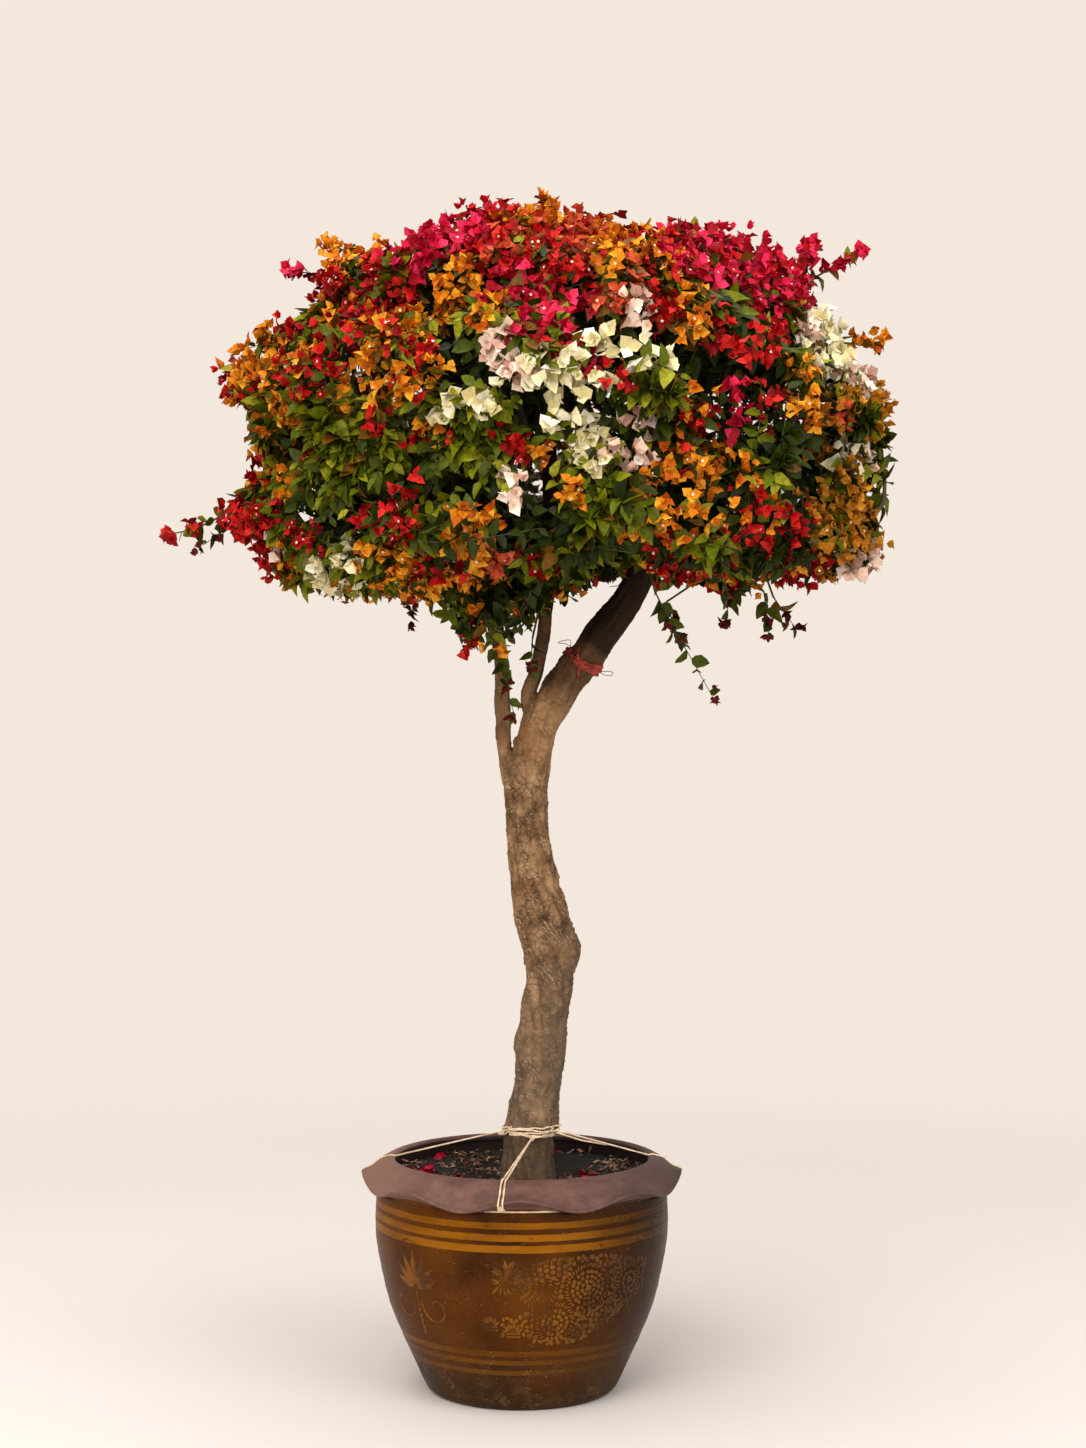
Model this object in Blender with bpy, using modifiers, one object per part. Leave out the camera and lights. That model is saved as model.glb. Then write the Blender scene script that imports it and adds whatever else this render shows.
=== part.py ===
"""A bougainvillea grown as a small tree with one stem, in its glazed stoneware pot.

The pot stands on its flat underside at z = 0, with its axis on the Z axis. The front is -Y.
Metres, +Z up. Every piece is a closed solid that keeps GAP clear of what it rests on.
"""

import math
import random

import bmesh
import bpy
from mathutils import Matrix, Vector
from mathutils.bvhtree import BVHTree

# ---------------------------------------------------------------- driving dimensions
GAP = 0.0003  # clearance between pieces that touch
CAP_WELD = 0.00001  # a tube's loose caps are welded to its sides within this

# The pot: (radius, height) down its outer side, from the neck to the foot
POT_BODY = ((0.3165, 0.446), (0.3195, 0.400), (0.3195, 0.335), (0.3076, 0.262), (0.290, 0.191),
            (0.2615, 0.121), (0.231, 0.055), (0.211, 0.012), (0.197, 0.0))
POT_WALL = 0.025
POT_FLOOR = 0.030
POT_STEPS = 48
LIP_TOP = 0.506
LIP_OPENING = 0.277
LIP_REACH = 0.349
LIP_EDGE = 0.4585  # mean height of the lip's outer edge
LIP_THICK = 0.012
LIP_UNDER = 0.330  # where the lip's underside turns down to the neck
LIP_WAVES = 8
LIP_WAVE_START = 0.305  # the waves grow from this radius outwards
LIP_WAVE = 0.0125  # how far the edge rises and dips
LIP_SCALLOP = 0.005  # how much further out a dip stands

SOIL_LEVEL = 0.436
SOIL_RISE = 0.032  # how much higher the soil lies at the wall than round the trunk
SOIL_STEPS = 24

# The trunk: (x, y, z, radius) from the soil to its fork
TRUNK = ((0.013, 0.000, SOIL_LEVEL + GAP, 0.0650), (0.014, 0.002, 0.505, 0.0610),
         (0.024, 0.006, 0.583, 0.0570), (0.036, 0.010, 0.671, 0.0530),
         (0.045, 0.008, 0.780, 0.0530), (0.059, 0.002, 0.891, 0.0505),
         (0.063, -0.002, 0.950, 0.0580), (0.045, -0.004, 1.023, 0.0610),
         (0.030, -0.002, 1.085, 0.0550), (0.017, 0.003, 1.180, 0.0470),
         (0.008, 0.004, 1.275, 0.0425), (0.006, 0.002, 1.335, 0.0450),
         (0.0055, 0.000, 1.374, 0.0480))
TRUNK_SIDES = 12
TRUNK_RINGS = 26
FORK_WIDEN = 1.19  # the trunk's top is this much wider than deep, for its two boughs
FORK_WIDEN_START = 1.30  # the height where it starts to widen
ROOT_FLARE = 0.010
ROOT_FLARE_HEIGHT = 0.035
FLUTE_DEPTH = 0.0035

# The three main boughs: (x, y, z, radius) up to where they enter the crown
FORK = TRUNK[-1][2] + GAP
BOUGH_RIGHT = ((0.0205, 0.000, FORK, 0.0415), (0.0205, 0.000, FORK + 0.012, 0.0415),
               (0.0355, -0.002, 1.448, 0.0400), (0.0649, -0.004, 1.498, 0.0390),
               (0.1039, -0.004, 1.557, 0.0375), (0.1405, 0.000, 1.599, 0.0365),
               (0.1740, 0.006, 1.649, 0.0350), (0.2327, 0.012, 1.725, 0.0330))
BOUGH_LEFT = ((-0.0380, 0.002, FORK, 0.0140), (-0.0380, 0.002, FORK + 0.012, 0.0145),
              (-0.0400, 0.004, 1.418, 0.0165), (-0.0420, 0.006, 1.505, 0.0165),
              (-0.0430, 0.008, 1.578, 0.0160), (-0.0510, 0.010, 1.637, 0.0155))
BOUGH_MIDDLE = ((0.0330, 0.012, 1.440, 0.0150), (0.0125, 0.014, 1.505, 0.0160),
                (0.0340, 0.016, 1.578, 0.0155), (0.0478, 0.016, 1.650, 0.0150),
                (0.0544, 0.014, 1.725, 0.0145))
BOUGH_TIP = 0.017
SIDE_BOUGH = (0.0150, 0.0100)  # radius of a side bough where it leaves and at its tip
TIP_RUN = 0.012  # the straight run at a bough's tip
ONWARD = 0.45  # how long a main bough holds its line as it enters the crown
MAIN_SIDES = 8
SIDE_SIDES = 6

# The crown: how far it reaches from its centre, seen from the front, every 20 degrees,
# counted from the right over the top
CROWN_CENTRE = Vector((0.054, 0.0, 2.118))
CROWN_REACH = (0.76, 0.69, 0.61, 0.51, 0.46, 0.46, 0.51, 0.61, 0.63, 0.67,
               0.68, 0.60, 0.47, 0.46, 0.42, 0.46, 0.65, 0.76)
CROWN_FLATTEN = 0.07  # how much shallower it is from front to back
LUMP = 0.035

# The open space inside the crown, where only the boughs are
HEART = Vector((0.060, 0.0, 1.940))
HEART_RADII = Vector((0.290, 0.200, 0.210))
HEART_CLEAR = 1.04  # leaves keep outside this many times its radii
DOOR_SHARE = 0.93  # a bough ends at this share of them, facing the mass that it carries

# The masses of foliage: azimuth from the right, elevation from the crown's centre, the bough
# that carries each one, how far along that bough its own limb leaves, and its blossom
MASSES = {
    "foliage_right": (0, -14, "bough_right", None, "amber"),
    "foliage_right_back": (62, -20, "bough_right", 0.60, "orange"),
    "foliage_left_back": (118, -18, "bough_left", 0.72, "crimson"),
    "foliage_left": (180, -16, "bough_left", None, "crimson"),
    "foliage_left_front": (239, -20, "bough_left", 0.60, "orange"),
    "foliage_right_front": (303, -22, "bough_right", 0.66, "orange"),
    "foliage_upper_right": (22, 30, "bough_right", 0.86, "white"),
    "foliage_upper_back": (96, 28, "bough_middle", 0.78, "crimson"),
    "foliage_upper_left": (176, 30, "bough_left", 0.84, "crimson"),
    "foliage_upper_front": (250, 26, "bough_middle", 0.70, "white"),
    "foliage_front": (312, 26, "bough_right", 0.78, "crimson"),
    "foliage_top": (90, 88, "bough_middle", None, "orange"),
}
SEED_DEPTH = 0.60  # where a mass has its middle, as a share of the crown's reach there
CELL_MARGIN = 0.004  # a mass keeps this far from the border with its neighbour
LIMB_MARGIN = 0.006  # a leaf keeps this far from a limb
CORE_SHARE = 0.88  # the leafy core's reach, as a share of the crown's
CORE_SEGMENTS = (24, 12)
CORE_MARGIN = 0.010  # how far a core keeps from the border with its neighbour

# Long sprays that stand out of the crown: the point that each one reaches
SPRAYS = (Vector((-0.784, -0.02, 1.862)), Vector((0.761, -0.03, 2.504)),
          Vector((-0.427, 0.02, 2.515)), Vector((0.365, -0.16, 1.505)),
          Vector((-0.150, -0.12, 1.640)), Vector((0.110, 0.05, 2.605)),
          Vector((0.868, 0.06, 2.060)), Vector((0.120, 0.66, 2.400)),
          Vector((-0.350, 0.60, 2.080)), Vector((0.560, 0.52, 1.960)))

TIPS = 92  # twig tips spread over the crown
TWIG_LEAVES, SPRAY_LEAVES = 2, 4  # on each twig, and on each long spray
CORE_LEAVES = 180  # leaves and tufts that stand out of the cores, over the whole crown
LEAF = (0.120, 0.080, 0.008)  # length, width and thickness; each stands for a few real ones
TUFT = (0.100, 0.090, 0.040)  # a cluster of bracts
TUFT_SHARE = 0.60
LEAF_SINK = 0.014  # how deep a leaf's root is sunk
LEAF_TRIES = 8
LEAF_CELL_MARGIN = 0.022  # how far from its mass's border a leaf out of the core is rooted
TWIG = (0.0060, 0.0030)
STEM = (0.0085, 0.0060)

CORD_RADIUS = 0.0025
GUYS = {"string_left": 180.0, "string_right": 0.0, "string_front": 262.5}  # azimuth of each
LIP_FIRST, LIP_LAST = 7, 13  # the pot profile's points that a cord over the lip follows
WRAP_HEIGHT = 0.561
WRAP_SPAN = 0.016  # the turns round the trunk, from the lowest to the highest
WRAP_SIDE = 0.008  # bark corners nearer than this to each other count as one
NECK_STEPS = 32
TIE_STATIONS = (4.6, 5.35)  # where the tape sits along the right bough, in stations
TIE_THICK = 0.0035


# ---------------------------------------------------------------- finishes
def finish(name, colour, roughness, metallic=0.0):
    """A Principled material in one plain colour."""
    material = bpy.data.materials.new(name)
    material.use_nodes = True
    shader = material.node_tree.nodes["Principled BSDF"]
    shader.inputs["Base Color"].default_value = (*colour, 1.0)
    shader.inputs["Roughness"].default_value = roughness
    shader.inputs["Metallic"].default_value = metallic
    material.diffuse_color = (*colour, 1.0)
    return material


# ---------------------------------------------------------------- general modelling
def add_object(name, mesh, materials, collection):
    """A new object that holds the mesh, with its material slots."""
    made = bpy.data.objects.new(name, mesh)
    for material in materials:
        mesh.materials.append(material)
    collection.objects.link(made)
    return made


def fixed_mesh(source, name, weld=0.0):
    """The object's evaluated shape as a plain mesh object. The source is removed."""
    graph = bpy.context.evaluated_depsgraph_get()
    mesh = bpy.data.meshes.new_from_object(source.evaluated_get(graph))
    collection = source.users_collection[0]
    place = source.matrix_world.copy()
    bpy.data.objects.remove(source)
    if weld:
        work = bmesh.new()
        work.from_mesh(mesh)
        bmesh.ops.remove_doubles(work, verts=work.verts, dist=weld)
        work.to_mesh(mesh)
        work.free()
    made = bpy.data.objects.new(name, mesh)
    made.matrix_world = place
    collection.objects.link(made)
    return made


def turned(name, profile, steps, material):
    """A turned shape from a profile of (radius, height), as a Screw modifier makes it."""
    mesh = bpy.data.meshes.new(name)
    edges = [(i, i + 1) for i in range(len(profile) - 1)]
    mesh.from_pydata([(r, 0.0, z) for r, z in profile], edges, [])
    blank = add_object(name, mesh, [material], PARTS)
    screw = blank.modifiers.new("turn", "SCREW")
    screw.steps = steps
    screw.render_steps = steps
    screw.use_merge_vertices = True
    screw.merge_threshold = 0.0001
    screw.use_smooth_shade = True
    return fixed_mesh(blank, name)


def tube(name, points, radii, sides, material, cyclic=False):
    """A tube along the points, thick as the radii say, as a bevelled curve makes it."""
    curve = bpy.data.curves.new(name, "CURVE")
    curve.dimensions = "3D"
    curve.bevel_depth = 1.0
    curve.bevel_resolution = sides // 2 - 2
    curve.use_fill_caps = not cyclic
    spline = curve.splines.new("POLY")
    spline.points.add(len(points) - 1)
    spline.use_cyclic_u = cyclic
    for knot, place, radius in zip(spline.points, points, radii):
        knot.co = (*place, 1.0)
        knot.radius = radius
    curve.materials.append(material)
    guide = bpy.data.objects.new(name, curve)
    PARTS.objects.link(guide)
    return fixed_mesh(guide, name, CAP_WELD)


def smooth_stations(stations, count):
    """Evenly spread places and radii on a smooth line through hand-set (x, y, z, radius)."""
    rows = [Vector(s) for s in stations]
    found = []
    for i in range(count):
        place = i * (len(rows) - 1) / (count - 1)
        k = min(int(place), len(rows) - 2)
        t = place - k
        a, b, c, d = (rows[min(max(k + j, 0), len(rows) - 1)] for j in (-1, 0, 1, 2))
        found.append(0.5 * (2 * b + (c - a) * t + (2 * a - 5 * b + 4 * c - d) * t ** 2
                            + (3 * b - a - 3 * c + d) * t ** 3))
    return [row.xyz for row in found], [row.w for row in found]


def cut_clear(piece, stock):
    """Cuts the stock away from the piece with an exact Boolean, and removes the stock."""
    cut = piece.modifiers.new("cut", "BOOLEAN")
    cut.operation = "DIFFERENCE"
    cut.object = stock
    name = piece.name
    piece.name = name + "_uncut"
    made = fixed_mesh(piece, name)
    bpy.data.objects.remove(stock)
    return made


# ---------------------------------------------------------------- pot and soil
def pot_profile():
    """From the middle of the pot's floor, up its inside, over the lip and down outside."""
    inside = [(r - POT_WALL, z) for r, z in POT_BODY[6:0:-2]]
    inside.insert(0, (inside[0][0] - 0.02, POT_FLOOR))
    lip = [(LIP_OPENING + 0.006, LIP_TOP - 0.034), (LIP_OPENING, LIP_TOP - 0.012),
           (LIP_OPENING + 0.006, LIP_TOP), (LIP_OPENING + 0.030, LIP_TOP - 0.008),
           (LIP_REACH - 0.018, LIP_EDGE + LIP_THICK + 0.006),
           (LIP_REACH - 0.002, LIP_EDGE + LIP_THICK * 0.4), (LIP_REACH, LIP_EDGE),
           (LIP_REACH - 0.008, LIP_EDGE - LIP_THICK * 0.4), (LIP_UNDER, POT_BODY[0][1] + 0.006)]
    return [(0.0, POT_FLOOR), *inside, *lip, *POT_BODY, (0.0, 0.0)]


def lip_wave(radius, azimuth):
    """How far a point of the lip moves up and out: eight shallow scallops."""
    share = max(0.0, (radius - LIP_WAVE_START) / (LIP_REACH - LIP_WAVE_START))
    phase = math.cos(LIP_WAVES * (azimuth + math.pi / 2))
    return LIP_WAVE * phase * share, -LIP_SCALLOP * phase * share


def make_pot(glaze):
    pot = turned("pot", pot_profile(), POT_STEPS, glaze)
    for vertex in pot.data.vertices:
        radius = math.hypot(vertex.co.x, vertex.co.y)
        if vertex.co.z < POT_BODY[0][1] + 0.001 or radius < LIP_WAVE_START:
            continue
        rise, spread = lip_wave(radius, math.atan2(vertex.co.y, vertex.co.x))
        vertex.co.z += rise
        vertex.co.x *= 1 + spread / radius
        vertex.co.y *= 1 + spread / radius


def inner_radius(height):
    """The pot's inside radius at this height, on the flats between its facets."""
    inside = [(z, r) for r, z in pot_profile()[1:6]]
    for (z0, r0), (z1, r1) in zip(inside, inside[1:]):
        if height <= z1:
            share = (height - z0) / (z1 - z0)
            return (r0 + (r1 - r0) * share) * math.cos(math.pi / POT_STEPS)
    return inside[-1][1]


def make_soil(compost):
    walls = [height for _, height in pot_profile()[2:5]] + [SOIL_LEVEL + SOIL_RISE]
    profile = [(0.0, SOIL_LEVEL), (0.10, SOIL_LEVEL), (0.19, SOIL_LEVEL + SOIL_RISE * 0.7)]
    profile += [(inner_radius(z) - 0.001, z) for z in reversed(walls)]
    profile += [(inner_radius(POT_FLOOR) - 0.004, POT_FLOOR + GAP), (0.0, POT_FLOOR + GAP)]
    turned("soil", profile, SOIL_STEPS, compost)


# ---------------------------------------------------------------- trunk and boughs
def make_trunk(bark):
    points, radii = smooth_stations(TRUNK, TRUNK_RINGS)
    points[0].xy = points[1].xy  # the first and last runs are upright, so the cuts are level
    points[-1].xy = points[-2].xy
    trunk = tube("trunk", points, radii, TRUNK_SIDES, bark)
    rings = sorted(points, key=lambda p: p.z)
    for vertex in trunk.data.vertices:
        middle = min(rings, key=lambda p: abs(p.z - vertex.co.z) + (p.xy - vertex.co.xy).length)
        out = vertex.co.xy - middle.xy
        azimuth = math.atan2(out.y, out.x)
        height = vertex.co.z
        flute = math.cos(3 * azimuth + 4 * height) + 0.6 * math.cos(5 * azimuth - 7 * height)
        grow = FLUTE_DEPTH * flute
        low = math.exp(-(height - SOIL_LEVEL) / ROOT_FLARE_HEIGHT)
        grow += ROOT_FLARE * low * (1 + 0.5 * math.cos(5 * azimuth + 0.6))
        if out.length > 0.001:
            vertex.co.xy = middle.xy + out * (1 + grow / out.length)
        top = max(0.0, (height - FORK_WIDEN_START) / (TRUNK[-1][2] - FORK_WIDEN_START))
        vertex.co.x = middle.x + (vertex.co.x - middle.x) * (1 + (FORK_WIDEN - 1) * top)
    return trunk


def doorway(name):
    """The point on the edge of the crown's open heart that faces the mass, and the way in."""
    heading = MIDDLES[name] - HEART
    scaled = Vector(h / r for h, r in zip(heading, HEART_RADII))
    return HEART + heading / scaled.length * DOOR_SHARE, heading.normalized()


def square_tip(route, heading):
    """Ends a route with a short straight run, so that its tip is cut square to the heading."""
    tip = route.pop()
    route.append(Vector((*(tip.xyz - heading * TIP_RUN), tip.w)))
    route.append(tip)
    return route


def finish_route(stations, name):
    """Carries a main bough's stations on through the heart to its mass's doorway."""
    route = [Vector(s) for s in stations]
    last = route[-1]
    along = (last.xyz - route[-2].xyz).normalized()
    tip, heading = doorway(name)
    span = (tip - last.xyz).length
    first, second = last.xyz + along * span * ONWARD, tip - heading * span * 0.30
    for i in range(1, 6):
        t = i / 5
        u = 1 - t
        spot = last.xyz * u ** 3 + first * 3 * u * u * t + second * 3 * u * t * t + tip * t ** 3
        route.append(Vector((*spot, last.w + (BOUGH_TIP - last.w) * t)))
    return square_tip(route, heading)


def side_route(parent, share, name):
    """A side bough's places and radii, from inside its parent to its mass's doorway."""
    place = share * (len(parent) - 1)
    k = int(place)
    root = parent[k].lerp(parent[k + 1], place - k)
    along = (parent[k + 1].xyz - parent[k].xyz).normalized()
    tip, heading = doorway(name)
    span = (tip - root.xyz).length
    first, second = root.xyz + along * span * 0.30, tip - heading * span * 0.30
    wide, thin = min(SIDE_BOUGH[0], root.w * 0.8), SIDE_BOUGH[1]
    route = []
    for i in range(6):
        t = i / 5
        u = 1 - t
        spot = root.xyz * u ** 3 + first * 3 * u * u * t + second * 3 * u * t * t + tip * t ** 3
        route.append(Vector((*spot, wide + (thin - wide) * t)))
    return square_tip(route, heading)


def limb(name, route, sides, bark, parent=None):
    """A tapering limb. A side limb is cut to a saddle that fits its parent with the gap."""
    made = tube(name, [p.xyz for p in route], [p.w for p in route], sides, bark)
    if parent:
        grown = [p.w + GAP / math.cos(math.pi / MAIN_SIDES) for p in parent]
        stock = tube("stock", [p.xyz for p in parent], grown, MAIN_SIDES, bark)
        made = cut_clear(made, stock)
    return made


def make_limbs(bark):
    """All boughs. Returns the route of each one."""
    routes = {}
    for bough, stations in (("bough_right", BOUGH_RIGHT), ("bough_left", BOUGH_LEFT),
                            ("bough_middle", BOUGH_MIDDLE)):
        own = next(n for n, m in MASSES.items() if m[2] == bough and m[3] is None)
        routes[bough] = finish_route(stations, own)
        parent = routes["bough_right"] if bough == "bough_middle" else None
        limb(bough, routes[bough], MAIN_SIDES, bark, parent)
    for name, (_, _, bough, share, _) in MASSES.items():
        if share is None:
            continue
        own = name.replace("foliage", "bough_to")
        routes[own] = side_route(routes[bough], share, name)
        limb(own, routes[own], SIDE_SIDES, bark, routes[bough])
    return routes


# ---------------------------------------------------------------- the crown's shape
def ring_reach(degrees):
    """The crown's reach in the front view at this angle, smoothly between the named ones."""
    place = (degrees % 360) / 20
    k = int(place)
    t = place - k
    a, b, c, d = (CROWN_REACH[(k + j) % 18] for j in (-1, 0, 1, 2))
    return 0.5 * (2 * b + (c - a) * t + (2 * a - 5 * b + 4 * c - d) * t ** 2
                  + (3 * b - a - 3 * c + d) * t ** 3)


def crown_reach(direction):
    """The crown's reach from its centre in any direction."""
    level = math.hypot(direction.x, direction.y)
    rise = math.degrees(math.atan2(direction.z, level))
    right = (1 + direction.x / level) / 2 if level > 1e-6 else 0.5
    depth = (direction.y / level) ** 2 if level > 1e-6 else 0.0
    azimuth = math.atan2(direction.y, direction.x)
    lump = LUMP * depth * math.sin(4 * azimuth + 0.7) * math.cos(math.radians(3 * rise))
    around = ring_reach(rise) * right + ring_reach(180 - rise) * (1 - right)
    return around * (1 - CROWN_FLATTEN * depth + lump)


def crown_share(point):
    """How far out the point is: 1 on the crown's surface."""
    out = point - CROWN_CENTRE
    return out.length / crown_reach(out.normalized()) if out.length > 1e-6 else 0.0


def heart_share(point):
    """How far out the point is from the open heart: 1 on its edge."""
    out = point - HEART
    return Vector(h / r for h, r in zip(out, HEART_RADII)).length


def mass_middle(azimuth, elevation):
    a, e = math.radians(azimuth), math.radians(elevation)
    way = Vector((math.cos(e) * math.cos(a), math.cos(e) * math.sin(a), math.sin(e)))
    return CROWN_CENTRE + way * crown_reach(way) * SEED_DEPTH


def border(point, name):
    """How far inside its own space the point is, against every other mass."""
    own = MIDDLES[name]
    nearest = 1.0
    for other, middle in MIDDLES.items():
        if other != name:
            axis = middle - own
            nearest = min(nearest, (own + axis / 2 - point).dot(axis.normalized()))
    return nearest


def limb_clearance(point):
    """How far the point is from the nearest limb's bark."""
    nearest = 1.0
    for route in ROUTES.values():
        for a, b in zip(route, route[1:]):
            run = b.xyz - a.xyz
            t = min(1.0, max(0.0, (point - a.xyz).dot(run) / run.length_squared))
            nearest = min(nearest, (a.xyz + run * t - point).length - (a.w + (b.w - a.w) * t))
    return nearest


def fits(points, name):
    """Whether a leaf or twig with these corners keeps to its mass's space and off the limbs."""
    return all(border(p, name) > CELL_MARGIN and heart_share(p) > HEART_CLEAR
               and limb_clearance(p) > LIMB_MARGIN for p in points)


# ---------------------------------------------------------------- foliage pieces
def shaped(name, work, index, collection):
    """An object in the collection from a finished bmesh, every face in one foliage finish."""
    for face in work.faces:
        face.material_index = index
    bmesh.ops.triangulate(work, faces=work.faces)
    bmesh.ops.recalc_face_normals(work, faces=work.faces)
    mesh = bpy.data.meshes.new(name)
    work.to_mesh(mesh)
    work.free()
    return add_object(name, mesh, FOLIAGE, collection)


def frame_at(place, along, face):
    """A frame at the place, with X along the leaf and Z as near as it can be to its face."""
    x = along.normalized()
    y = face.cross(x).normalized()
    return Matrix.Translation(place) @ Matrix((x, y, x.cross(y))).transposed().to_4x4()


def blade(size, frame):
    """A leaf or tuft of eight faces: widest a little before its middle, its root at zero."""
    work = bmesh.new()
    bmesh.ops.create_uvsphere(work, u_segments=4, v_segments=2, radius=0.5)
    length, width, thick = size
    for vertex in work.verts:
        side = abs(vertex.co.x) < 0.25
        vertex.co.x = 0.42 * length if side else (vertex.co.x + 0.5) * length
        vertex.co.y *= width
        vertex.co.z *= thick
    work.transform(frame)
    return work


def cone(start, end, radii, sides):
    """A tapering twig between two points."""
    work = bmesh.new()
    run = end - start
    bmesh.ops.create_cone(work, cap_ends=True, segments=sides, radius1=radii[0],
                          radius2=radii[1], depth=run.length)
    turn = run.to_track_quat("Z", "Y").to_matrix().to_4x4()
    work.transform(Matrix.Translation((start + end) / 2) @ turn)
    return work


def core_walls(name):
    """The planes that bound a mass's core inside the crown: (a point, the way out)."""
    own = MIDDLES[name]
    for other, middle in MIDDLES.items():
        if other != name:
            out = (middle - own).normalized()
            yield (own + middle) / 2 - out * CORE_MARGIN, out
    door, heading = doorway(name)
    yield door + heading * CORE_MARGIN * 2, -heading


def in_core(point, name):
    inside = all((point - place).dot(out) < 0 for place, out in core_walls(name))
    return inside and crown_share(point) < CORE_SHARE


def core_reach(name, way):
    """How far the leafy core reaches from its middle this way."""
    reach = 0.01
    while in_core(MIDDLES[name] + way * reach, name):
        reach += 0.01
    return reach - 0.01


def core(name, crown):
    """The dense inside of a mass: its own share of the crown's rough inner shape."""
    work = crown.copy()
    for place, out in core_walls(name):
        geometry = [*work.verts, *work.edges, *work.faces]
        cut = bmesh.ops.bisect_plane(work, geom=geometry, dist=1e-5, plane_co=place,
                                     plane_no=out, clear_outer=True)
        rim = [e for e in cut["geom_cut"] if isinstance(e, bmesh.types.BMEdge)]
        if rim:
            bmesh.ops.edgeloop_fill(work, edges=rim)
    return work


def rough_crown():
    """The crown's shape drawn in to where the leaves get dense, with a stirred surface."""
    work = bmesh.new()
    bmesh.ops.create_uvsphere(work, u_segments=CORE_SEGMENTS[0], v_segments=CORE_SEGMENTS[1],
                              radius=1.0)
    for vertex in work.verts:
        way = vertex.co.normalized()
        vertex.co = CROWN_CENTRE + way * crown_reach(way) * CORE_SHARE * DICE.uniform(0.93, 1.0)
    bmesh.ops.triangulate(work, faces=work.faces)
    return work


def any_way():
    """A random direction, even on all sides."""
    while True:
        way = Vector(DICE.uniform(-1, 1) for _ in range(3))
        if 0.1 < way.length < 1:
            return way.normalized()


def add_leaf(name, root, out, spread, tufted, kit):
    """A leaf or tuft with its root at this point, turned until it is clear of the others."""
    for turn in range(LEAF_TRIES):
        along = (out + any_way().cross(out).normalized() * spread).normalized()
        face = (out + any_way() * 0.8).normalized()
        grow = DICE.uniform(0.85, 1.15) * (1 - 0.04 * turn)
        size = [s * grow for s in (TUFT if tufted else LEAF)]
        piece = blade(size, frame_at(root - along * LEAF_SINK, along, face))
        tree = BVHTree.FromBMesh(piece)
        clear = not any(tree.overlap(other) for other in TAKEN)
        if clear and fits([v.co for v in piece.verts if (v.co - root).length > LEAF_SINK], name):
            TAKEN.append(tree)
            slot = 2 + list(BLOSSOM).index(MASSES[name][4]) if tufted else 1
            shaped("leaf", piece, slot, kit)
            return
        piece.free()


def add_twig(name, tip, leaves, kit):
    """A twig from the core to its tip, with its leaves and tufts. What doesn't fit is left."""
    middle = MIDDLES[name]
    out = (tip - middle).normalized()
    root = middle + out * core_reach(name, out) * 0.70
    tip = tip - out * LEAF[0] * 0.70
    if (tip - root).dot(out) < 0.03 or not fits([tip, (root + tip) / 2], name):
        return
    shaped("twig", cone(root, tip, TWIG, 3), 0, kit)
    for i in range(leaves):
        tufted = i == 0 and DICE.random() < TUFT_SHARE
        add_leaf(name, tip.lerp(root, 0.7 * i / leaves), out, 1.4 if i else 0.3, tufted, kit)


def add_core_leaf(name, root, kit):
    """A leaf or tuft that stands out of the core at its root."""
    while border(root, name) < LEAF_CELL_MARGIN:
        root = root.lerp(MIDDLES[name], 0.1)
    out = (root - HEART).normalized()
    add_leaf(name, root, out, DICE.uniform(0.2, 0.9), DICE.random() < TUFT_SHARE * 0.8, kit)


def spread_ways(count, stir):
    """Directions spread evenly on all sides, each stirred a little."""
    turn = math.pi * (3 - math.sqrt(5))
    for i in range(count):
        rise = 1 - 2 * (i + 0.5) / count
        level = math.sqrt(1 - rise * rise)
        way = Vector((level * math.cos(turn * i), level * math.sin(turn * i), rise))
        yield (way + any_way() * stir).normalized()


def owner(point):
    return min(MIDDLES, key=lambda name: (MIDDLES[name] - point).length)


def make_mass(name, tips, sprays, roots, crown):
    """One mass of foliage: stem, core, twigs, leaves and tufts, joined by one Boolean."""
    kit = bpy.data.collections.new(name + "_kit")
    bpy.context.scene.collection.children.link(kit)
    door, heading = doorway(name)
    whole = shaped(name + "_core", core(name, crown), 0, PARTS)
    shaped("stem", cone(door + heading * GAP, MIDDLES[name], STEM, 6), 0, kit)
    TAKEN.clear()
    for tip in sprays:
        add_twig(name, tip, SPRAY_LEAVES, kit)
    for tip in tips:
        add_twig(name, tip, TWIG_LEAVES, kit)
    for root in roots:
        add_core_leaf(name, root, kit)
    join = whole.modifiers.new("join", "BOOLEAN")
    join.operation = "UNION"
    join.operand_type = "COLLECTION"
    join.collection = kit
    join.solver = "MANIFOLD"
    keep_main_body(fixed_mesh(whole, name))
    for piece in list(kit.objects):
        bpy.data.objects.remove(piece)
    bpy.data.collections.remove(kit)


def keep_main_body(piece):
    """Drops a joined mass's loose scraps, and fills its sealed hollows, by shell."""
    work = bmesh.new()
    work.from_mesh(piece.data)
    bmesh.ops.triangulate(work, faces=work.faces)
    left = set(work.faces)
    shells = []
    while left:
        shell, queue = set(), [left.pop()]
        while queue:
            face = queue.pop()
            shell.add(face)
            near = {f for e in face.edges for f in e.link_faces} & left
            left -= near
            queue.extend(near)
        shells.append(shell)
    scraps = [f for shell in shells for f in shell if shell is not max(shells, key=len)]
    bmesh.ops.delete(work, geom=scraps, context="FACES")
    work.to_mesh(piece.data)
    work.free()


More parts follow.
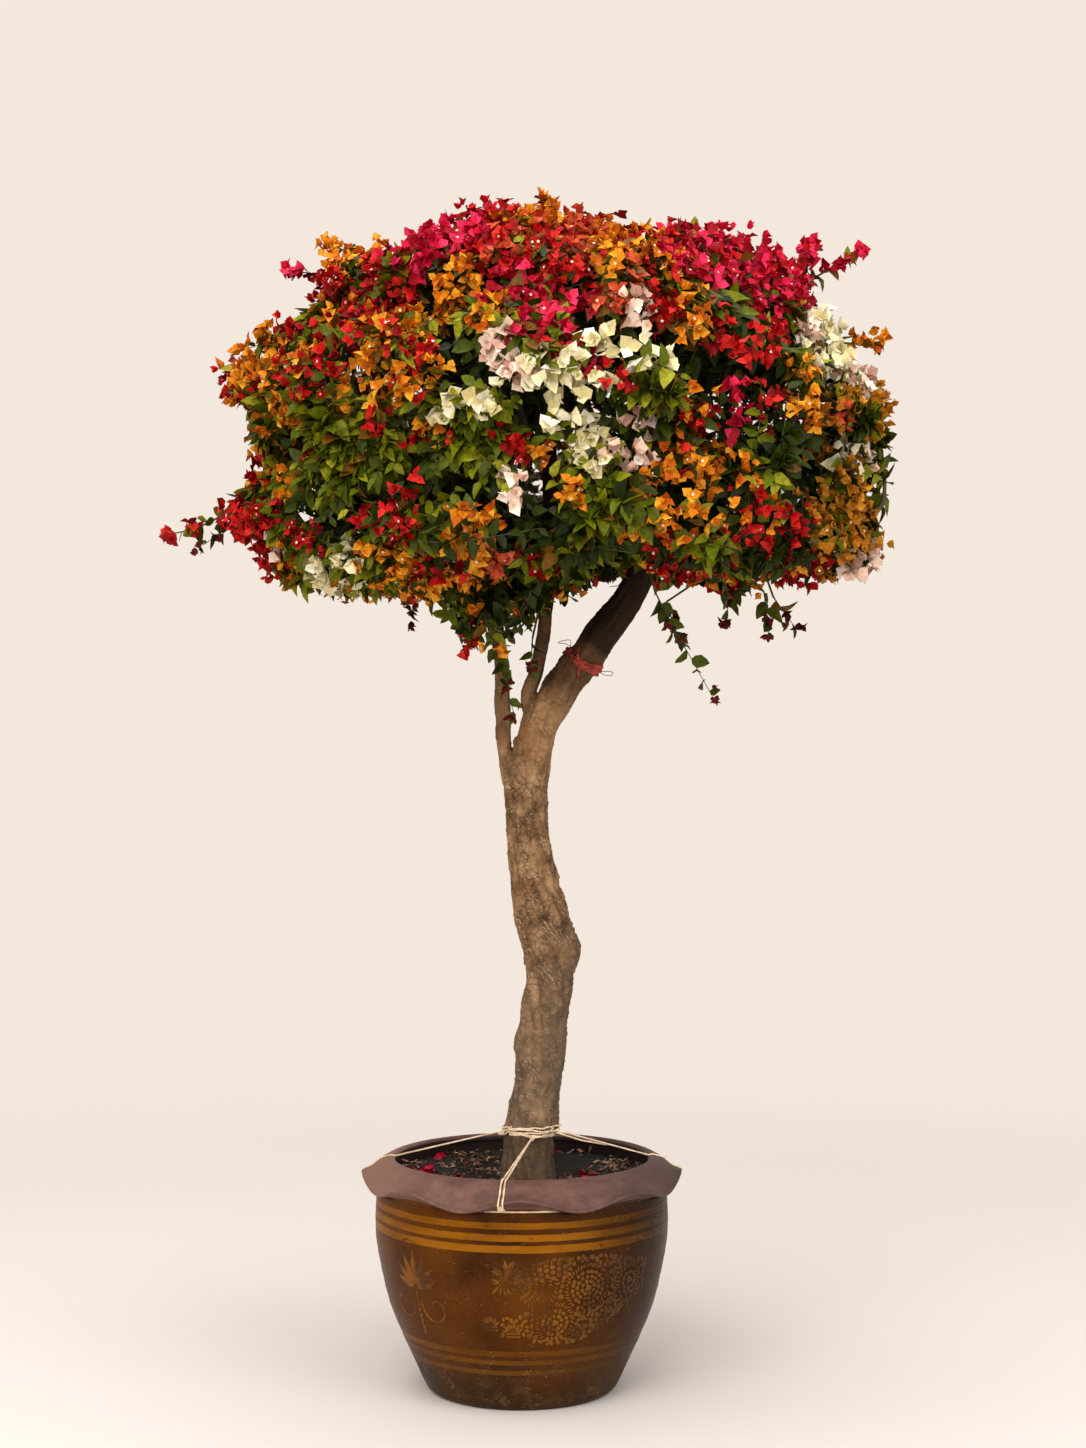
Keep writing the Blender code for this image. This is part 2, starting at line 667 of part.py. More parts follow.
# ---------------------------------------------------------------- string and tape
def level_section(piece, height):
    """The corners of the piece's cross-section at this height, in turn round their middle."""
    work = bmesh.new()
    work.from_mesh(piece.data)
    geometry = [*work.verts, *work.edges, *work.faces]
    cut = bmesh.ops.bisect_plane(work, geom=geometry, dist=1e-6, plane_no=(0, 0, 1),
                                 plane_co=(0, 0, height))
    found = [g.co.copy() for g in cut["geom_cut"] if isinstance(g, bmesh.types.BMVert)]
    work.free()
    middle = sum(found, Vector()) / len(found)
    found.sort(key=lambda p: math.atan2(p.y - middle.y, p.x - middle.x))
    return middle, found


def make_wrap(string, trunk):
    """The turns of string round the trunk, as one band that fits its bark."""
    middle, section = level_section(trunk, WRAP_HEIGHT)
    section = [p for i, p in enumerate(section) if (p - section[i - 1]).length > WRAP_SIDE]
    stand = (CORD_RADIUS + GAP * 1.5) / math.cos(math.pi / len(section))
    ring = [p + (p - middle).normalized() * stand for p in section]
    band = tube("string_wrap", ring, [CORD_RADIUS] * len(ring), 6, string, cyclic=True)
    for vertex in band.data.vertices:
        rise = vertex.co.z - WRAP_HEIGHT
        vertex.co.z = WRAP_HEIGHT + rise * WRAP_SPAN / (2 * CORD_RADIUS)
    return middle, ring


def ring_meets(middle, ring, out):
    """How far the ring is from its middle in the level direction out."""
    for a, b in zip(ring, ring[1:] + ring[:1]):
        a, b = a - middle, b - middle
        spread = a.x * b.y - a.y * b.x
        near, far = a.x * out.y - a.y * out.x, out.x * b.y - out.y * b.x
        if spread > 0 and near >= 0 and far >= 0:
            return spread / (near + far)
    return ring[0].length


def over_the_lip(azimuth):
    """A cord's (radius, height) places as it lies over the lip at this azimuth."""
    lip = []
    for radius, height in pot_profile()[LIP_FIRST:LIP_LAST]:
        rise, spread = lip_wave(radius, azimuth)
        lip.append(Vector((radius + spread, height + rise)))
    runs = [(b - a).normalized() for a, b in zip(lip, lip[1:])]
    route = []
    for place, before, after in zip(lip, runs[:1] + runs, runs + runs[-1:]):
        along = (before + after).normalized()
        stand = (CORD_RADIUS + GAP * 1.5) / along.dot(after)
        route.append((place.x - along.y * stand, place.y + along.x * stand))
    return route


def make_strings(string, trunk):
    """The band round the trunk, the ring under the lip, and a guy between them three ways."""
    middle, wrap = make_wrap(string, trunk)
    ring_radius = (POT_BODY[0][0] + GAP * 2 + CORD_RADIUS) / math.cos(math.pi / NECK_STEPS)
    ring_height = POT_BODY[0][1] - 0.006
    ring = []
    for i in range(NECK_STEPS):
        turn = 2 * math.pi * i / NECK_STEPS
        ring.append((ring_radius * math.cos(turn), ring_radius * math.sin(turn), ring_height))
    tube("string_neck", ring, [CORD_RADIUS] * NECK_STEPS, 4, string, cyclic=True)
    for name, azimuth in GUYS.items():
        turn = math.radians(azimuth)
        out = Vector((math.cos(turn), math.sin(turn), 0))
        places = over_the_lip(turn)
        places.append((ring_radius + CORD_RADIUS * 2 + GAP * 2, ring_height - 0.002))
        route = [out * r + Vector((0, 0, z)) for r, z in places]
        run = (route[0] - middle).normalized()
        level = Vector((run.x, run.y, 0)).normalized()
        slack = CORD_RADIUS * (1 + abs(run.z)) + GAP * 1.5
        route.insert(0, middle + level * (ring_meets(middle, wrap, level) + slack))
        tube(name, route, [CORD_RADIUS] * len(route), 6, string)


def make_tie(route, tape, bark):
    """A turn of tape round the right bough, cut clear of the bark."""
    def spot(station):
        k = int(station)
        return route[k].lerp(route[k + 1], station - k)

    count = 4
    low, high = TIE_STATIONS
    rows = [spot(low + (high - low) * i / (count - 1)) for i in range(count)]
    band = tube("tie", [r.xyz for r in rows], [r.w + TIE_THICK for r in rows], MAIN_SIDES, tape)
    grown = [p.w + GAP / math.cos(math.pi / MAIN_SIDES) for p in route]
    stock = tube("stock", [p.xyz for p in route], grown, MAIN_SIDES, bark)
    cut_clear(band, stock)


# ---------------------------------------------------------------- assembly
for old in list(bpy.data.objects):
    bpy.data.objects.remove(old)

PARTS = bpy.data.collections.new("bougainvillea")
bpy.context.scene.collection.children.link(PARTS)
DICE = random.Random(7)
BLOSSOM = {"crimson": (0.62, 0.02, 0.08), "orange": (0.90, 0.20, 0.05),
           "amber": (0.85, 0.34, 0.06), "white": (0.88, 0.80, 0.74)}

glaze = finish("dark glaze", (0.055, 0.022, 0.012), 0.30)
compost = finish("compost", (0.020, 0.014, 0.010), 0.95)
bark = finish("bark", (0.23, 0.155, 0.10), 0.85)
string = finish("cream string", (0.62, 0.50, 0.34), 0.80)
tape = finish("red tape", (0.62, 0.05, 0.03), 0.45)
FOLIAGE = [finish("inner foliage", (0.03, 0.07, 0.015), 0.80),
           finish("leaf", (0.10, 0.22, 0.04), 0.60)]
FOLIAGE += [finish(name + " bract", colour, 0.60) for name, colour in BLOSSOM.items()]

TAKEN = []  # the leaves of the mass that is being made

MIDDLES = {name: mass_middle(m[0], m[1]) for name, m in MASSES.items()}

make_pot(glaze)
make_soil(compost)
stem = make_trunk(bark)
ROUTES = make_limbs(bark)
tips_of = {name: [] for name in MASSES}
for tip_way in spread_ways(TIPS, 0.10):
    tip_point = CROWN_CENTRE + tip_way * crown_reach(tip_way) * DICE.uniform(0.97, 1.07)
    tips_of[owner(tip_point)].append(tip_point)
roots_of = {name: [] for name in MASSES}
for leaf_way in spread_ways(CORE_LEAVES, 0.05):
    leaf_root = CROWN_CENTRE + leaf_way * crown_reach(leaf_way) * CORE_SHARE * 0.92
    roots_of[owner(leaf_root)].append(leaf_root)
crown_shape = rough_crown()
for mass in MASSES:
    sprays_here = [s for s in SPRAYS if owner(s) == mass]
    make_mass(mass, tips_of[mass], sprays_here, roots_of[mass], crown_shape)
make_strings(string, stem)
make_tie(ROUTES["bough_right"], tape, bark)
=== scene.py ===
"""The looks of a bougainvillea grown as a small tree in a glazed jar.

The sections follow the plant as it is put together: the jar with its glaze and raised slip,
the compost, the trunk and boughs, the string and the tape, and then the crown's twigs, leaves
and blossom. Metres, +Z up. The jar stands on z = 0, and the front is -Y.
"""

import math
import random

import bmesh
import bpy
import numpy as np
from mathutils import Matrix, Vector, noise
from mathutils.bvhtree import BVHTree


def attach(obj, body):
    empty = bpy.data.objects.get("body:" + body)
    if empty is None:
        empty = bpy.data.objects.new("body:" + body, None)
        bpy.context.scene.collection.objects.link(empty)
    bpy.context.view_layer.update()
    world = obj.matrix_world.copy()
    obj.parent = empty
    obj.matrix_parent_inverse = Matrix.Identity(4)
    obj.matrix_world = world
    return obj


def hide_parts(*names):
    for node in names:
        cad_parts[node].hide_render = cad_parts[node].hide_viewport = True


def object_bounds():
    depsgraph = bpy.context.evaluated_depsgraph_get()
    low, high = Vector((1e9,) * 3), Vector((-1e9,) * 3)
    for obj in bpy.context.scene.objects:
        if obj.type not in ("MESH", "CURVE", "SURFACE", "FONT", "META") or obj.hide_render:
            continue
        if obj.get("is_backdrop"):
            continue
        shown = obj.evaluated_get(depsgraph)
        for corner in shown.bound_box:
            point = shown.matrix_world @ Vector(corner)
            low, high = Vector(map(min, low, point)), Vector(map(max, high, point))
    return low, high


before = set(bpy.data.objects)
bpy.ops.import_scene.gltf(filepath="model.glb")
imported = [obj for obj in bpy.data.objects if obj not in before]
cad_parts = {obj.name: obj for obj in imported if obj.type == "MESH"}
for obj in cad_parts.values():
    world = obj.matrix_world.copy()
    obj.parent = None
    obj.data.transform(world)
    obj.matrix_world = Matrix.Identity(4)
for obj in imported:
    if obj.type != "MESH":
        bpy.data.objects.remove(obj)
cad_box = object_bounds()


# ---------------------------------------------------------------- the studio
# A pale floor that fades out into a cream room, a large soft lamp high at the front left,
# and a weaker one at the right. The eye is at the height of a standing person's.
EYE = (0.0465, -5.5, 1.52)
EYE_PITCH = math.radians(0.7)
EYE_LENS, EYE_SENSOR = 62.4, 36.0
ROOM_SEEN, ROOM_LIT, ROOM_STRENGTH = (244, 232, 221), (240, 228, 218), 0.62
FLOOR_TONE, FLOOR_REACH, FLOOR_DROP = (231, 227, 225), 7.0, 0.0004
FLOOR_FADE = (1.3, 4.6)
LAMPS = {  # place, size, watts and warmth of each
    "lamp_left": ((-1.9, -4.9, 4.4), 4.6, 262.0, (1.0, 0.945, 0.88)),
    "lamp_right": ((4.0, -4.2, 3.0), 4.4, 152.0, (1.0, 0.97, 0.95)),
    "lamp_top": ((-0.2, -0.4, 6.2), 4.8, 222.0, (1.0, 0.96, 0.92)),
}
LAMP_AIM = Vector((0, 0, 1.6))


def tone(red, green, blue):
    """A colour as a shader takes it, from its everyday values of 0 to 255."""
    return (*(((c / 255 + 0.055) / 1.055) ** 2.4 for c in (red, green, blue)), 1.0)


def add_node(tree, kind, inputs=(), **settings):
    """A shader node with these settings. An input that is another node's socket is linked."""
    made = tree.nodes.new("ShaderNode" + kind)
    for name, value in settings.items():
        setattr(made, name, value)
    for name, value in dict(inputs).items():
        value = getattr(value, "socket", value)
        if isinstance(value, bpy.types.NodeSocket):
            tree.links.new(value, made.inputs[name])
        else:
            made.inputs[name].default_value = value
    return made


eye = bpy.data.objects.new("eye", bpy.data.cameras.new("eye"))
eye.data.sensor_width = EYE_SENSOR
eye.data.lens = EYE_LENS
eye.location = EYE
eye.rotation_euler = (math.pi / 2 - EYE_PITCH, 0.0, 0.0)
bpy.context.scene.collection.objects.link(eye)
bpy.context.scene.camera = eye
bpy.context.scene.view_settings.view_transform = "Standard"

room = bpy.data.worlds.new("room")
bpy.context.scene.world = room
room.use_nodes = True
tree = room.node_tree
tree.nodes.clear()
seen = add_node(tree, "Background", {"Color": tone(*ROOM_SEEN), "Strength": 1.0})
lit = add_node(tree, "Background", {"Color": tone(*ROOM_LIT), "Strength": ROOM_STRENGTH})
to_eye = add_node(tree, "LightPath").outputs["Is Camera Ray"]
both = add_node(tree, "MixShader", {0: to_eye, 1: lit.outputs[0], 2: seen.outputs[0]})
add_node(tree, "OutputWorld", {"Surface": both.outputs[0]})

floor_mesh = bpy.data.meshes.new("floor")
work = bmesh.new()
bmesh.ops.create_circle(work, cap_ends=True, segments=96, radius=FLOOR_REACH)
bmesh.ops.translate(work, verts=work.verts, vec=(0, 0, -FLOOR_DROP))
work.to_mesh(floor_mesh)
work.free()
floor = bpy.data.objects.new("floor", floor_mesh)
bpy.context.scene.collection.objects.link(floor)
paper = bpy.data.materials.new("pale floor")
paper.use_nodes = True
tree = paper.node_tree
shader = tree.nodes["Principled BSDF"]
shader.inputs["Base Color"].default_value = tone(*FLOOR_TONE)
shader.inputs["Roughness"].default_value = 0.9
spot = add_node(tree, "TexCoord").outputs["Object"]
far = add_node(tree, "VectorMath", {0: spot}, operation="LENGTH").outputs["Value"]
fade = add_node(tree, "MapRange", {"Value": far, "From Min": FLOOR_FADE[0],
                                   "From Max": FLOOR_FADE[1]}, interpolation_type="SMOOTHSTEP")
clear = add_node(tree, "BsdfTransparent")
mixed = add_node(tree, "MixShader", {0: fade.outputs["Result"], 1: shader.outputs[0],
                                     2: clear.outputs[0]})
tree.links.new(mixed.outputs[0], tree.nodes["Material Output"].inputs["Surface"])
floor_mesh.materials.append(paper)
floor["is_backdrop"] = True

for name, (place, size, watts, warmth) in LAMPS.items():
    lamp = bpy.data.lights.new(name, "AREA")
    lamp.size = size
    lamp.energy = watts
    lamp.color = warmth
    held = bpy.data.objects.new(name, lamp)
    held.location = place
    held.rotation_euler = (LAMP_AIM - Vector(place)).to_track_quat("-Z", "Y").to_euler()
    bpy.context.scene.collection.objects.link(held)


# ---------------------------------------------------------------- the jar
# A thrown stoneware jar, 64 cm across, dipped in a dark brown glaze with ochre bands. Its lip
# was pressed over in eight shallow scallops and left matt. The foot is scuffed and dusty.
JAR_BODY = ((0.3165, 0.446), (0.3195, 0.400), (0.3195, 0.335), (0.3076, 0.262), (0.290, 0.191),
            (0.2615, 0.121), (0.231, 0.055), (0.211, 0.012), (0.197, 0.0))  # radius and height
JAR_WALL, JAR_FLOOR = 0.025, 0.030
JAR_STEPS, ROW_PARTS = 200, 6
LIP_TOP, LIP_OPENING, LIP_REACH = 0.506, 0.277, 0.3455
LIP_EDGE, LIP_UNDER = 0.4585, 0.330
LIP_WAVES, LIP_WAVE, LIP_SCALLOP, LIP_WAVE_START = 8, 0.0150, 0.0055, 0.300
BANDS = ((0.4165, 0.0066), (0.3920, 0.0072), (0.3685, 0.0078),  # height and half width
         (0.1370, 0.0066), (0.1165, 0.0054), (0.0920, 0.0054))
BAND_EDGE = 0.0008


class Heap:
    """Points and faces gathered for one piece."""

    def __init__(self):
        self.points, self.faces, self.slots = [], [], []

    def add(self, points, faces):
        start = len(self.points)
        self.points.extend(tuple(p) for p in points)
        self.faces.extend(tuple(i + start for i in face) for face in faces)
        self.slots.extend([0] * len(faces))

    def piece(self, name, finishes, replaced=()):
        mesh = bpy.data.meshes.new(name)
        mesh.from_pydata(self.points, [], self.faces)
        mesh.polygons.foreach_set("material_index", self.slots)
        mesh.polygons.foreach_set("use_smooth", [True] * len(self.faces))
        mesh.update()
        return settle(mesh, finishes, replaced)


def settle(mesh, finishes, replaced=()):
    """A mesh as a piece that rides on the plant, in place of the plain solids named."""
    for one in finishes:
        mesh.materials.append(one)
    made = bpy.data.objects.new(mesh.name, mesh)
    bpy.context.scene.collection.objects.link(made)
    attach(made, "root")
    if replaced:
        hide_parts(*replaced)
    return made


def eased(a, b, c, d, t):
    """A smooth curve's value at the share t of its way from b to c, between a and d."""
    return 0.5 * (2 * b + (c - a) * t + (2 * a - 5 * b + 4 * c - d) * t ** 2
                  + (3 * b - a - 3 * c + d) * t ** 3)


def smooth_line(stations, parts):
    """Rows between given rows of numbers, smoothly joined, with so many parts to each."""
    rows = [Vector(s) for s in stations]
    found = []
    for k in range(len(rows) - 1):
        four = [rows[min(max(k + j, 0), len(rows) - 1)] for j in (-1, 0, 1, 2)]
        found += [eased(*four, i / parts) for i in range(parts)]
    return found + [rows[-1]]


def lip_wave(radius, turn):
    """How far the lip rises and spreads at this radius and turn."""
    share = max(0.0, (radius - LIP_WAVE_START) / (LIP_REACH - LIP_WAVE_START))
    phase = math.cos(LIP_WAVES * (turn + math.pi / 2))
    press = 0.10 * noise.noise(Vector((math.cos(turn) * 2, math.sin(turn) * 2, 3.1)))
    return LIP_WAVE * share * (phase + press), LIP_SCALLOP * share * (phase + press)


def spun(heap, profile, steps, slots, shape):
    """A turned shape. The shape function moves each point of a row, and ends close to a point."""
    row = len(heap.points)
    for radius, height in profile:
        if radius < 1e-6:
            heap.points.append((0.0, 0.0, height))
            continue
        for i in range(steps):
            turn = 2 * math.pi * i / steps
            r, z = shape(radius, height, turn)
            heap.points.append((r * math.cos(turn), r * math.sin(turn), z))
    for k in range(len(profile) - 1):
        below, above = (1 if radius < 1e-6 else steps for radius, _ in profile[k:k + 2])
        for i in range(steps):
            j = (i + 1) % steps
            a, b = row + (i if below > 1 else 0), row + (j if below > 1 else 0)
            c, d = row + below + (j if above > 1 else 0), row + below + (i if above > 1 else 0)
            heap.faces.append(tuple(dict.fromkeys((a, d, c, b))))
            heap.slots.append(slots(k))
        row += below


def as_tone(colour):
    """Everyday values are turned into a shader's, and a socket or a shader's colour stays."""
    return tone(*colour) if isinstance(colour, tuple) and len(colour) == 3 else colour


class Value:
    """A number that a finish works out at every point. It adds and multiplies as numbers do."""

    def __init__(self, tree, socket):
        self.tree, self.socket = tree, socket

    def work(self, how, *numbers):
        made = add_node(self.tree, "Math", enumerate(numbers), operation=how)
        return Value(self.tree, made.outputs[0])

    def __add__(self, other):
        return self.work("ADD", self, other)

    def __sub__(self, other):
        return self.work("SUBTRACT", self, other)

    def __rsub__(self, other):
        return self.work("SUBTRACT", other, self)

    def __mul__(self, other):
        return self.work("MULTIPLY", self, other)

    def __abs__(self):
        return self.work("ABSOLUTE", self)

    def most(self, other):
        return self.work("MAXIMUM", self, other)

    def step(self, low, high):
        """0 at low, 1 at high, and smooth between."""
        made = add_node(self.tree, "MapRange", {"Value": self, "From Min": low, "From Max": high},
                        interpolation_type="SMOOTHSTEP")
        return Value(self.tree, made.outputs["Result"])

    def ramp(self, *stops):
        """A colour for each stop of the value: (where, colour)."""
        made = add_node(self.tree, "ValToRGB", {"Fac": self})
        marks = made.color_ramp.elements
        while len(marks) < len(stops):
            marks.new(0.5)
        for mark, (where, colour) in zip(marks, stops):
            mark.position = where
            mark.color = as_tone(colour)
        return made.outputs["Color"]


class Finish:
    """A material that is laid on in coats of colour, each as thick as a value says."""

    def __init__(self, name, colour, roughness, shine=None):
        self.made = bpy.data.materials.new(name)
        self.made.use_nodes = True
        self.tree = self.made.node_tree
        self.shader = self.tree.nodes["Principled BSDF"].inputs
        self.made.diffuse_color = self.colour = as_tone(colour)
        self.shader["Base Color"].default_value = self.colour
        self.shader["Roughness"].default_value = roughness
        if shine is not None:
            self.shader["Specular IOR Level"].default_value = shine
        self.spot = self.node("TexCoord").outputs["Object"]
        axes = self.node("SeparateXYZ", {"Vector": self.spot}).outputs
        self.x, self.y, self.z = (Value(self.tree, axis) for axis in axes)

    def node(self, kind, inputs=(), **settings):
        return add_node(self.tree, kind, inputs, **settings)

    def value(self, output, kind, inputs=(), **settings):
        return Value(self.tree, self.node(kind, inputs, **settings).outputs[output])

    def grain(self, size, detail=3.0, stretch=(1, 1, 1), **more):
        """Cloudy noise of this size in metres, stretched along the axes."""
        spread = self.node("Mapping", {"Vector": self.spot, "Scale": [1 / s for s in stretch]})
        return self.value("Fac", "TexNoise", {"Vector": spread.outputs[0], "Scale": 1 / size,
                                              "Detail": detail, **more})

    def waves(self, run, scale, distortion, detail, **more):
        """Bands along this run, bent by noise."""
        return self.value("Fac", "TexWave", {"Vector": self.spot, "Scale": scale, "Detail": detail,
                                             "Distortion": distortion, **more}, bands_direction=run)

    def coat(self, share, colour):
        """Lays a colour over what is there, as thick as the share says."""
        mixed = self.node("Mix", {0: share, 6: self.colour, 7: as_tone(colour)}, data_type="RGBA")
        self.colour = mixed.outputs[2]

    def done(self, relief=None, depth=0.0, strength=1.0, rough=None):
        """The material, with its surface relief of this depth in metres."""
        if isinstance(self.colour, bpy.types.NodeSocket):
            self.tree.links.new(self.colour, self.shader["Base Color"])
        if rough:
            self.tree.links.new(rough.socket, self.shader["Roughness"])
        if relief:
            bump = self.node("Bump", {"Height": relief, "Distance": depth, "Strength": strength})
            self.tree.links.new(bump.outputs[0], self.shader["Normal"])
        return self.made


def jar_glaze():
    """Brown glaze that breaks darker in clouds, six brushed ochre bands, dust and chips, and painted shade
    over its right side.
    """
    glaze = Finish("brown jar glaze", (84, 44, 10), 0.34, 0.06)
    grain, painted_shade_right, height = glaze.grain, glaze.x.step(0.02, 0.30), glaze.z
    brushed = height + (grain(0.03) - 0.5) * 0.0022
    clouds = grain(0.16, 5.0)
    bands = None
    for middle, half in BANDS:
        band = 1.0 - abs(brushed - middle).step(half - BAND_EDGE, half + BAND_EDGE)
        bands = bands.most(band) if bands else band
    bands = bands * grain(0.012, 6.0, stretch=(3, 3, 1)).step(0.26, 0.40)
    glaze.colour = grain(0.05, 4.0, stretch=(4, 4, 1)).ramp((0.30, (104, 60, 2)),
                                                            (0.62, (150, 92, 6)))
    glaze.coat(height.step(0.22, 0.16) * 0.55, (66, 36, 2))
    ochre = glaze.colour
    glaze.colour = clouds.ramp((0.30, (48, 24, 2)), (0.50, (78, 40, 1)), (0.72, (96, 53, 1)))
    glaze.coat(bands, ochre)
    # painted shade: the glaze darkened over the jar's right side
    glaze.coat(painted_shade_right * 0.90, (34, 20, 7))
    low = 1.0 - height.step(0.02, 0.16)
    glaze.coat(low * 0.60, (42, 31, 19))
    grime = grain(0.035, 8.0, Roughness=0.75).step(0.44, 0.62) * (low + 0.14)
    glaze.coat(grime * 0.60, (78, 58, 37))
    scratch = glaze.waves("DIAGONAL", 16.0, 26.0, 4.0, **{"Detail Scale": 2.2}).step(0.975, 0.995)
    scratch = scratch * grain(0.05, 2.0).step(0.52, 0.60) * (low + 0.22)
    specks = grain(0.0042, 1.0).step(0.715, 0.765).most(scratch)
    glaze.coat(specks * 0.65, (150, 120, 84))
    rough = grime * 0.30 + clouds * 0.24 + 0.22 + specks * 0.3
    rings = glaze.waves("Z", 34.0, 1.6, 2.0)
    relief = rings * 0.35 + grain(0.006, 4.0) * 0.5 + bands * 0.5
    return glaze.done(relief, 0.0007, 0.7, rough)


def lip_finish():
    """Matt purple-brown clay with thumb streaks round it and redder patches, painted shade along its outer
    edge and over its right side, painted light over its left, and painted shadow down the inside of its
    mouth.
    """
    clay = Finish("matt jar lip", (104, 74, 66), 0.55, 0.30)
    grain = clay.grain
    streaks = grain(0.05, 6.0, stretch=(1, 1, 0.5), Roughness=0.62)
    clay.colour = streaks.ramp((0.28, (84, 57, 50)), (0.52, (104, 74, 66)), (0.74, (126, 93, 82)))
    level = clay.node("CombineXYZ", {"X": clay.x, "Y": clay.y}).outputs[0]
    out = clay.value("Value", "VectorMath", {0: level}, operation="LENGTH")
    smears = grain(0.018, 6.0, stretch=(2.2, 2.2, 0.5), Roughness=0.7).step(0.56, 0.66)
    # edge: painted shade along the lip's outer edge, where its underside begins
    edge = out.step(LIP_REACH - 0.012, LIP_REACH - 0.001) * grain(0.02, 3.0).step(0.35, 0.60)
    ridge = out.step(LIP_OPENING + 0.018, LIP_OPENING + 0.008) * grain(0.03, 4.0).step(0.40, 0.62)
    # inside: painted shadow down the inner wall of the jar's mouth
    inside = (out.step(LIP_OPENING + 0.013, LIP_OPENING + 0.009)
              * clay.z.step(LIP_TOP - 0.003, LIP_TOP - 0.008))
    for share, weight, colour in (
            (grain(0.022, 5.0).step(0.60, 0.72), 0.5, (128, 66, 48)),
            (grain(0.006, 3.0).step(0.70, 0.76), 0.45, (52, 34, 30)),
            (smears, 0.42, (66, 44, 38)), (edge, 0.50, (70, 46, 40)), (ridge, 0.35, (72, 48, 42)),
            # painted shade over the right of the lip, and painted light over its left (next line)
            (clay.x.step(0.05, 0.34), 0.62, (58, 46, 45)),
            (clay.x.step(-0.16, -0.32), 0.50, (156, 118, 100)), (inside, 0.92, (24, 17, 15))):
        clay.coat(share * weight, colour)
    return clay.done(grain(0.005, 5.0), 0.0006, 0.6, streaks * 0.35 + 0.33)


def build_jar():
    inside = [(r - JAR_WALL, z) for r, z in JAR_BODY[6:0:-2]]
    inside.insert(0, (inside[0][0] - 0.02, JAR_FLOOR))
    lip = [(LIP_OPENING + 0.006, LIP_TOP - 0.034), (LIP_OPENING, LIP_TOP - 0.012),
           (LIP_OPENING + 0.006, LIP_TOP), (LIP_OPENING + 0.030, LIP_TOP - 0.008),
           (LIP_REACH - 0.022, LIP_EDGE + 0.0195), (LIP_REACH - 0.0085, LIP_EDGE + 0.0078),
           (LIP_REACH - 0.0018, LIP_EDGE + 0.0042), (LIP_REACH, LIP_EDGE),
           (LIP_REACH - 0.007, LIP_EDGE - 0.0042), (LIP_UNDER, JAR_BODY[0][1] + 0.006)]
    upper = smooth_line([*inside[1:], *lip, JAR_BODY[0]], ROW_PARTS)
    lower = smooth_line(JAR_BODY, ROW_PARTS)[1:]
    profile = [(0.0, JAR_FLOOR), inside[0], *(tuple(p) for p in upper)]
    lip_from, lip_to = ROW_PARTS * 3, len(profile) - 1
    profile += [*(tuple(p) for p in lower), (0.0, 0.0)]

    def shape(radius, height, turn):
        around = Vector((math.cos(turn), math.sin(turn), height * 3))
        if height > JAR_BODY[0][1] - 0.001 and radius > LIP_WAVE_START:
            rise, spread = lip_wave(radius, turn)
            return radius + spread + 0.0012 * noise.noise(around * 3), height + rise
        swell = 0.0011 * noise.noise(around * 2) + 0.0003 * math.sin(height * 700)
        return radius + swell * (height > 0.004), height

    heap = Heap()
    spun(heap, profile, JAR_STEPS, lambda k: 1 if lip_from <= k < lip_to else 0, shape)
    return heap.piece("jar", [jar_glaze(), lip_finish()], ["pot"])


JAR = build_jar()
JAR_SIDE = np.array(smooth_line(JAR_BODY, ROW_PARTS))[::-1]


def jar_radius(height):
    """The outside radius of the jar's body at this height."""
    return float(np.interp(height, JAR_SIDE[:, 1], JAR_SIDE[:, 0]))


# ---------------------------------------------------------------- the raised slip
# Thick ochre slip laid on the glaze before the firing: on two sides a coiled scaly body under a
# leafy rosette, as such jars have carried for centuries, and between them an open lotus.
SLIP_RISE = 0.0012
# along the jar from the middle of its front, height, and half the body's width
COIL = ((-0.006, 0.300, 0.0120), (0.030, 0.314, 0.0165), (0.068, 0.322, 0.0180),
        (0.104, 0.322, 0.0170))
WHORLS = ((0.150, 0.280, 0.044), (0.078, 0.208, 0.036), (0.262, 0.282, 0.028))
COIL_OUTLINE = ((-0.010, 0.326), (0.050, 0.346), (0.160, 0.350), (0.230, 0.338), (0.312, 0.322),
                (0.318, 0.262), (0.250, 0.222), (0.190, 0.186), (0.130, 0.160), (0.060, 0.158),
                (0.006, 0.176), (-0.090, 0.186), (-0.092, 0.216), (-0.010, 0.222), (0.020, 0.242),
                (0.030, 0.268), (-0.008, 0.282))
ROSETTE = (-0.032, 0.300)
CLAWS = ((-0.070, 0.204), (-0.018, 0.190))
LOTUS = (-0.255, 0.262)
FILL_TRIES, FILL_ROOM = 6000, 0.0088
OVAL = [(0.5 * math.cos(t), 0.5 * math.sin(t)) for t in (k * math.tau / 8 for k in range(8))]
SCALE = [(-0.5, -0.30), (-0.1, -0.5), (0.3, -0.40), (0.5, 0.0), (0.3, 0.40), (-0.1, 0.5),
         (-0.5, 0.30)]
LENS = [(-0.5, 0.0), (-0.25, -0.38), (0.1, -0.5), (0.5, 0.0), (0.1, 0.5), (-0.25, 0.38)]


